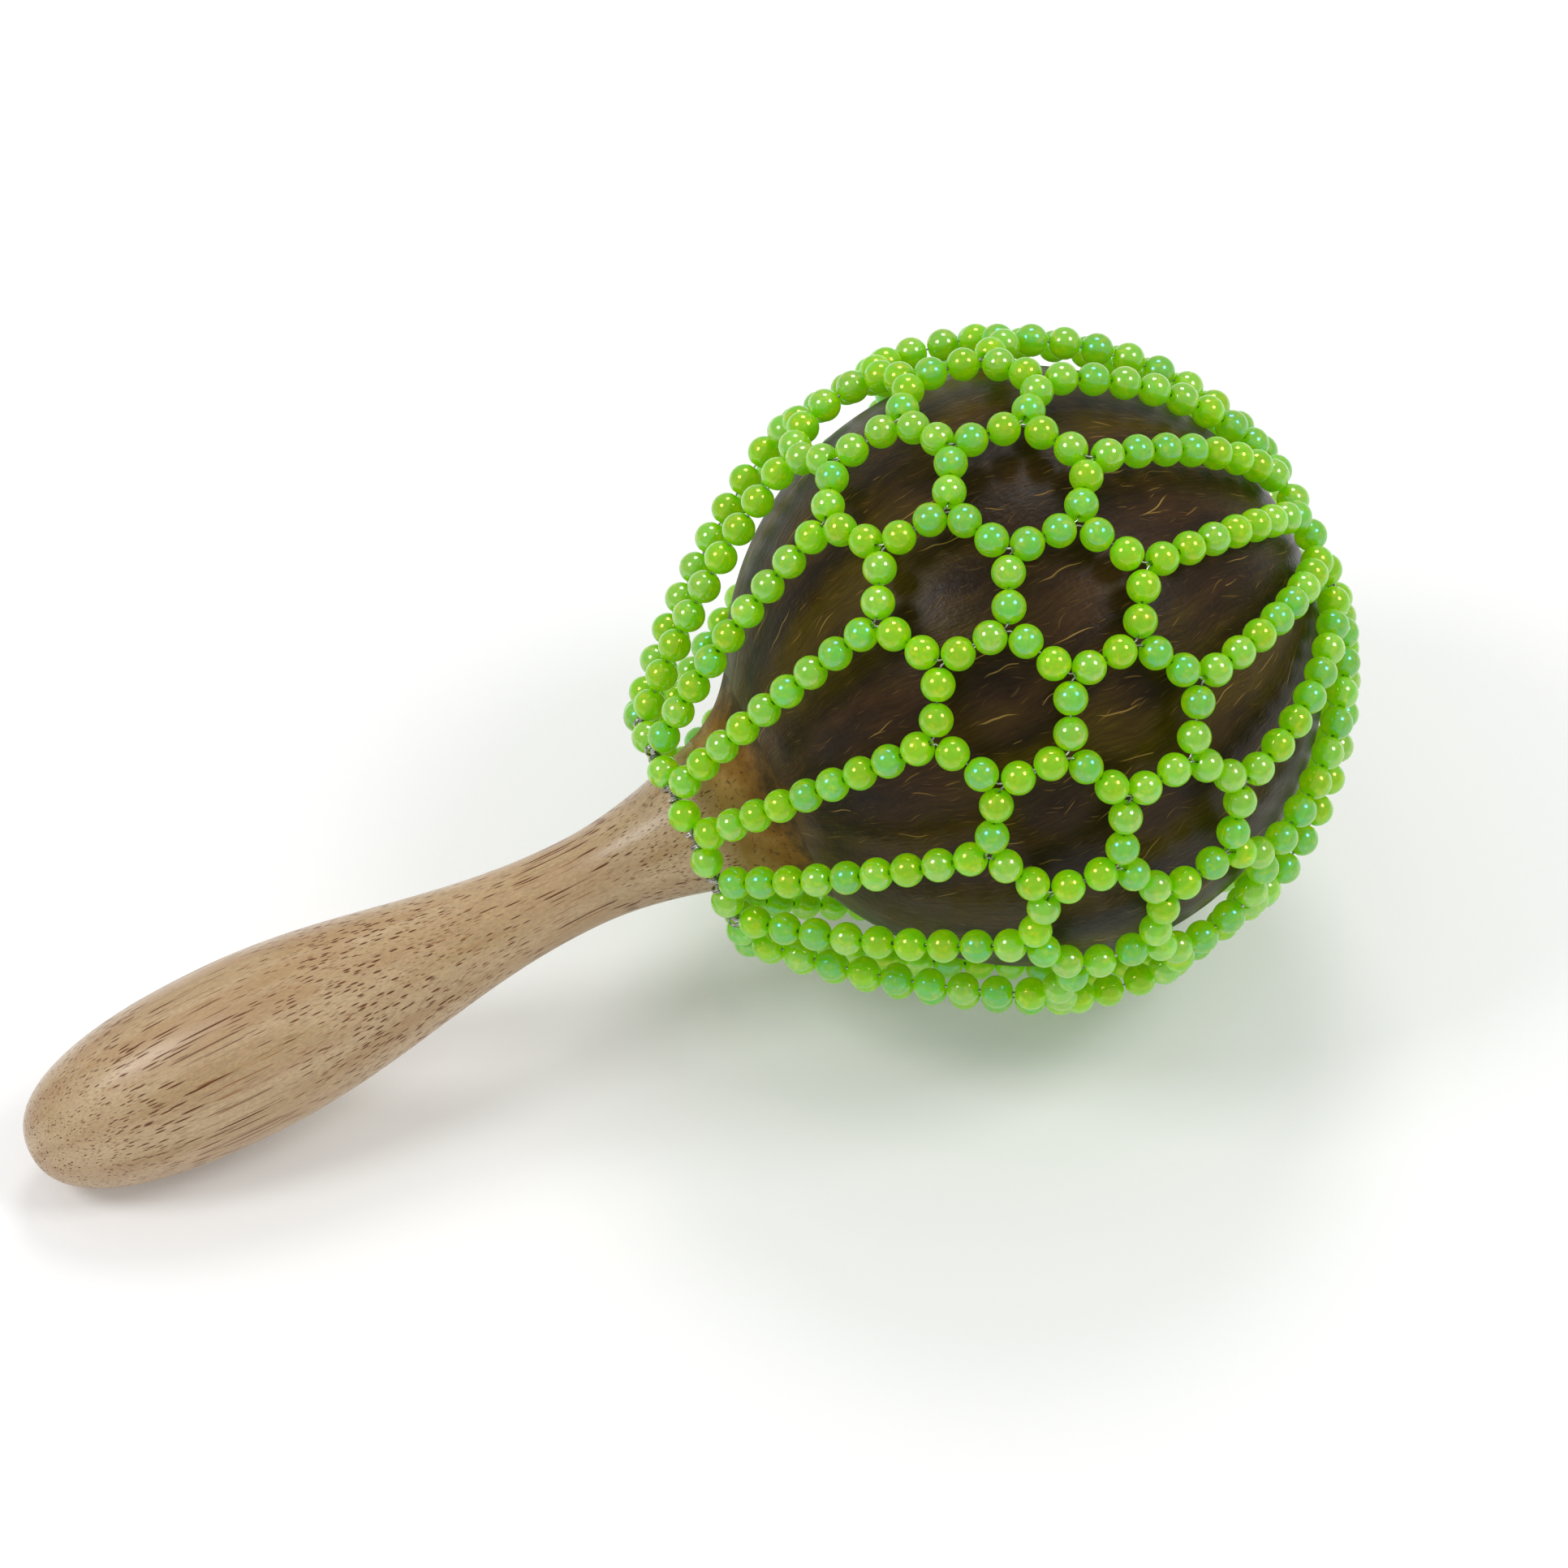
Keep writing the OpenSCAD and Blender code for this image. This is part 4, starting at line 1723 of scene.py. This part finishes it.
@dataclass
class BeadNet:
    """The beads: round, with a rounded lip at each end of the bore."""

    plan: NetPlan
    # The bore, the radius of its lips, and the share of a bead's radius that is kept
    bore_d: float = 0.0015
    lip: float = 0.00016
    trim: float = 0.997
    # The faces round a bead, from lip to lip and round a lip
    segments: int = 24
    outer_steps: int = 16
    lip_steps: int = 3
    # How often each shimmer is drawn
    shimmer_shares: tuple[int, ...] = (3, 4, 4)
    seed: int = 7

    def outline(self) -> Point:
        """The closed outline of a bead, up its outside and back down its bore.

        Returns:
            Its [radius, station] points round the bead's own middle.
        """
        radius, bore = self.plan.bead_d / 2 * self.trim, self.bore_d / 2
        lip_at = math.asin((bore + self.lip) / (radius - self.lip))
        edge = np.array([math.sin(lip_at), math.cos(lip_at)]) * (radius - self.lip)
        angles = np.linspace(math.pi - lip_at, lip_at, self.outer_steps + 1)
        outer = [(radius * math.sin(a), radius * math.cos(a)) for a in angles]
        turns = np.linspace(lip_at, -QUARTER, self.lip_steps + 1)[1:]
        top = [(edge[0] + self.lip * math.sin(a), edge[1] + self.lip * math.cos(a)) for a in turns]
        low = [(r, -z) for r, z in reversed(top)]
        return np.array([*outer, *top, *low])

    def build(self, lie: Lie, finishes: list[Material]) -> list[Piece]:
        """Makes a piece of beads for each node of the net.

        Args:
            lie: How the instrument lies.
            finishes: The bead's finishes, one for each shimmer.

        Returns:
            The pieces.
        """
        draws = random.Random(self.seed)
        bead = Form.turned(self.outline(), self.segments, closed=True)
        kinds = [kind for kind, share in enumerate(self.shimmer_shares) for _ in range(share)]
        pieces = []
        for name, row in self.plan.rows.items():
            forms = []
            for middle, way in row:
                turn = np.array(Vector(way).to_track_quat("Z", "Y").to_matrix())
                turn = turn @ np.array(Matrix.Rotation(draws.uniform(0, FULL), 3, "Z"))
                forms.append(bead.placed(turn, middle, draws.choice(kinds)))
            piece = make_piece(name + "_round", forms, lie, finishes)
            pieces.append(enlist(piece, Body.NET, Slot.BEADS, name))
        return pieces


@dataclass
class NetWires:
    """The wires that the net is strung on, and the two ring wires."""

    plan: NetPlan
    # The turns round the collar ring wire, how many fewer or more, and their pitch
    wraps: float = 3.1
    wraps_more: tuple[float, float] = (-0.2, 0.15)
    wrap_pitch: float = 0.00037
    # How many turns are tight, over how many more they loosen, and the loose eye they end in
    tight_wraps: float = 1.2
    loosening: float = 0.8
    eye_r: float = 0.00112
    eye_back: float = 0.00042
    # The straight cut end, and the hook round the crown ring wire
    tail: tuple[float, float] = (0.0001, 0.0004)
    hook_turn: float = math.radians(225)
    # How far from a junction the wire starts to bend, and how far it cuts the corner
    corner: float = 0.0009
    corner_cut: float = 0.29
    # The steps of a turn, and the faces round a wire and along a ring wire
    turn_steps: int = 16
    sides: int = 10
    ring_sides: int = 12
    ring_segments: int = 192
    ring_trim: float = 0.998
    seed: int = 11

    def round_ring(self, ring: Point, az: float, off: float, turn: float, radius: float) -> Point:
        """A point wrapped round a ring wire.

        Args:
            ring: The middle of the wraps, as a [radius, station] point.
            az: The azimuth of the strand.
            off: How far along the ring the point lies from the strand.
            turn: The turn round the ring wire.
            radius: The radius of the wrap there.

        Returns:
            The point.
        """
        out = radius * np.array([math.cos(turn), math.sin(turn)])
        return spot(ring + out, az + off / ring[0])

    def collar_wrap(self, az: float, side: int, draws: random.Random) -> list[Point]:
        """The turns round the collar ring wire, from the cut end to the strand.

        Args:
            az: The azimuth of the strand.
            side: -1 or 1, the side of the strand.
            draws: The random draws.

        Returns:
            The points.
        """
        plan = self.plan
        way = plan.lower_arc.way(0)
        leave = math.atan2(way[1], way[0]) - QUARTER
        wraps = self.wraps + draws.uniform(*self.wraps_more)
        steps = round(wraps * self.turn_steps)
        points = []
        for i in range(steps, -1, -1):
            turns = wraps * i / steps
            off = side * (plan.wire_side + turns * self.wrap_pitch)
            loose = min(1.0, max(0.0, (turns - self.tight_wraps) / self.loosening))
            middle = plan.collar_ring - way * self.eye_back * loose
            radius = plan.wrap_r + (self.eye_r - plan.wrap_r) * loose
            points.append(self.round_ring(middle, az, off, leave - FULL * turns, radius))
        end = points[0] + unit(points[0] - points[1]) * draws.uniform(*self.tail)
        return [end, *points]

    def crown_hook(self, az: float, off: float) -> list[Point]:
        """The hook round the crown ring wire.

        Args:
            az: The azimuth of the strand.
            off: How far to its side the wire lies.

        Returns:
            The points.
        """
        way = self.plan.upper_arc.way(self.plan.upper_arc.length)
        meet = math.atan2(way[1], way[0]) - QUARTER
        steps = round(self.hook_turn / FULL * self.turn_steps)
        turns = [meet + self.hook_turn * i / steps for i in range(steps + 1)]
        return [self.round_ring(self.plan.crown_ring, az, off, turn, self.plan.wrap_r) for turn in turns]

    def rounded(self, points: list[Point]) -> list[Point]:
        """Cuts each inner corner of a path, so that the wire bends there and doesn't kink.

        Args:
            points: The path.

        Returns:
            The path with its corners cut.
        """
        path = [points[0]]
        for before, here, after in zip(points, points[1:], points[2:]):
            back, on = unit(before - here) * self.corner, unit(after - here) * self.corner
            path += [here + back, here + (back + on) * self.corner_cut, here + on]
        return [*path, points[-1]]

    def path(self, k: int, side: int, draws: random.Random) -> Point:
        """One wire, from the collar to the crown.

        Args:
            k: Its column.
            side: -1 or 1, the side of the column.
            draws: The random draws.

        Returns:
            Its points.
        """
        plan = self.plan
        az, beside = plan.column(k), plan.column(k, side * plan.half)
        off = side * plan.wire_side

        def here(p: Point) -> Point:
            """A point of the wire in its own column."""
            return spot(p, az) + np.array([-math.sin(az), math.cos(az), 0.0]) * off

        def over(p: Point) -> Point:
            """A point of the wire halfway to the next column."""
            return spot(p, beside) + np.array([-math.sin(beside), math.cos(beside), 0.0]) * -off

        lower = [here(plan.lower_arc.at(s)) for s in plan.lower_places]
        upper = [over(plan.upper_arc.at(s)) for s in plan.upper_places]
        turns = [place(fork) for place, fork in zip((here, over, over, here, here, over), plan.forks)]
        bends = self.rounded([lower[-1], *turns, upper[0]])
        wrap, hook = self.collar_wrap(az, side, draws), self.crown_hook(beside, -off)
        return np.array([*wrap, *lower[:-1], *bends, *upper[1:], *hook])

    def ring_form(self, ring: Point) -> Form:
        """A ring wire.

        Args:
            ring: The middle of the wire, as a [radius, station] point.

        Returns:
            The form.
        """
        turns = np.linspace(math.pi, -math.pi, self.ring_sides, endpoint=False)
        radius = self.plan.ring_wire_d / 2 * self.ring_trim
        outline = np.array([ring + radius * np.array([math.cos(a), -math.sin(a)]) for a in turns])
        return Form.turned(outline, self.ring_segments, closed=True)

    def build(self, lie: Lie, finish: Material) -> list[Piece]:
        """Bends the wires and puts them in their places.

        Args:
            lie: How the instrument lies.
            finish: The wire's finish.

        Returns:
            The pieces.
        """
        draws = random.Random(self.seed)
        pieces = []
        for name, side in (("left_wires", -1), ("right_wires", 1)):
            paths = [self.path(k, side, draws) for k in range(self.plan.columns)]
            forms = [Form.swept(path, self.plan.wire_d / 2, self.sides) for path in paths]
            piece = make_piece(name + "_bent", forms, lie, [finish])
            pieces.append(enlist(piece, Body.NET, Slot.WIRE, name))
        rings = {"collar_ring_wire": self.plan.collar_ring, "crown_ring_wire": self.plan.crown_ring}
        for name, ring in rings.items():
            piece = make_piece(name + "_round", [self.ring_form(ring)], lie, [finish])
            pieces.append(enlist(piece, Body.RINGS, Slot.WIRE, name))
        return pieces


@dataclass(frozen=True)
class Lamp:
    """A soft lamp over the instrument.

    Attributes:
        name: Its name.
        way: The direction to it for someone who stands where the picture is taken.
        power: Its power in watts.
    """

    name: str
    way: Triple
    power: float


@dataclass
class Studio:
    """The pale floor, the soft lamps and the camera."""

    # Where the photograph was taken from, and its lens in pixels of the picture
    camera_at: Triple = (-0.1868, -0.4574, 0.5719)
    elevation: float = math.radians(47.54)
    azimuth: float = math.radians(-17.25)
    roll: float = math.radians(-2.92)
    focus_px: float = 5001.0
    picture_px: float = 1932.0
    sensor_mm: float = 36.0
    clip: tuple[float, float] = (0.01, 20.0)
    # The floor, the lamps and the sky's strength
    floor_size: float = 6.0
    lamps: tuple[Lamp, ...] = (
        Lamp("lamp_top", (0.0, 0.96, 0.28), 3.6),
        Lamp("lamp_left", (-0.64, 0.37, 0.67), 4.0),
        Lamp("lamp_right", (0.55, 0.46, 0.69), 4.0),
    )
    lamp_far: float = 1.3
    lamp_size: float = 0.44
    sky: float = 0.54

    def stand(self) -> Quaternion:
        """The turn of the camera.

        Returns:
            The turn, which sends the z axis away from the instrument.
        """
        e, a = self.elevation, self.azimuth
        back = Vector((math.cos(e) * math.sin(a), -math.cos(e) * math.cos(a), math.sin(e)))
        return back.to_track_quat("Z", "Y") @ Quaternion((0, 0, 1), self.roll)

    def place_camera(self) -> None:
        """Places the camera where the photograph was taken from."""
        lens = bpy.data.cameras.new("studio_camera")
        lens.sensor_width = self.sensor_mm
        lens.lens = self.sensor_mm * self.focus_px / self.picture_px
        lens.clip_start, lens.clip_end = self.clip
        camera = bpy.data.objects.new("studio_camera", lens)
        camera.location = self.camera_at
        camera.rotation_mode = "QUATERNION"
        camera.rotation_quaternion = self.stand()
        bpy.context.scene.collection.objects.link(camera)
        bpy.context.scene.camera = camera

    def hang(self, lamp: Lamp) -> None:
        """Hangs a round lamp, turned towards the instrument.

        Args:
            lamp: The lamp.
        """
        aim = self.stand() @ Vector(lamp.way).normalized()
        light = bpy.data.lights.new(lamp.name, "AREA")
        light.shape, light.size, light.energy = "DISK", self.lamp_size, lamp.power
        hung = bpy.data.objects.new(lamp.name, light)
        hung.location = aim * self.lamp_far
        hung.rotation_mode = "QUATERNION"
        hung.rotation_quaternion = aim.to_track_quat("Z", "Y")
        bpy.context.scene.collection.objects.link(hung)

    def lay_floor(self, paper: Material) -> None:
        """Lays the floor.

        Args:
            paper: Its finish.
        """
        sheet = bmesh.new()
        bmesh.ops.create_grid(sheet, x_segments=2, y_segments=2, size=self.floor_size / 2)
        mesh = bpy.data.meshes.new("floor")
        sheet.to_mesh(mesh)
        sheet.free()
        mesh.materials.append(paper)
        floor = bpy.data.objects.new("floor", mesh)
        bpy.context.scene.collection.objects.link(floor)

    def build(self, paper: Material) -> None:
        """Sets up the studio.

        Args:
            paper: The floor's finish.
        """
        world = bpy.data.worlds.new("studio")
        world.use_nodes = True
        sky = world.node_tree.nodes["Background"]
        sky.inputs["Color"].default_value = (1.0, 1.0, 1.0, 1.0)
        sky.inputs["Strength"].default_value = self.sky
        bpy.context.scene.world = world
        bpy.context.scene.view_settings.view_transform = "Standard"
        self.lay_floor(paper)
        for lamp in self.lamps:
            self.hang(lamp)
        self.place_camera()


def write_sizes() -> None:
    """Brings the scene's view layer up to date."""
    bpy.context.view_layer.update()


def main() -> None:
    """Builds the sub-assemblies in order and dresses them."""
    logging.basicConfig(level=logging.INFO, format="%(name)s %(message)s")
    handle = Handle()
    shell = CoconutShell(near_z=handle.shoulder_z + 0.0003, hole_d=handle.tenon_d + 0.0003)
    plan = NetPlan(shell)
    lie = Lie.settle(handle.underside(), plan.middles, plan.bead_d / 2, shell.middle_z)
    effects = Effects(lie, handle.rim_z * TO_MM)
    Studio().build(PaleFloor().make(effects))
    handle.build(lie, Rubberwood().make(effects))
    shell.build(lie, Coconut().make(effects))
    NeckFiller(handle, shell).build(lie, Filler().make(effects))
    BeadNet(plan).build(lie, [LimeBead(shimmer).make(effects) for shimmer in Shimmer])
    NetWires(plan).build(lie, SteelWire().make(effects))
    write_sizes()


if __name__ == "__main__":
    main()
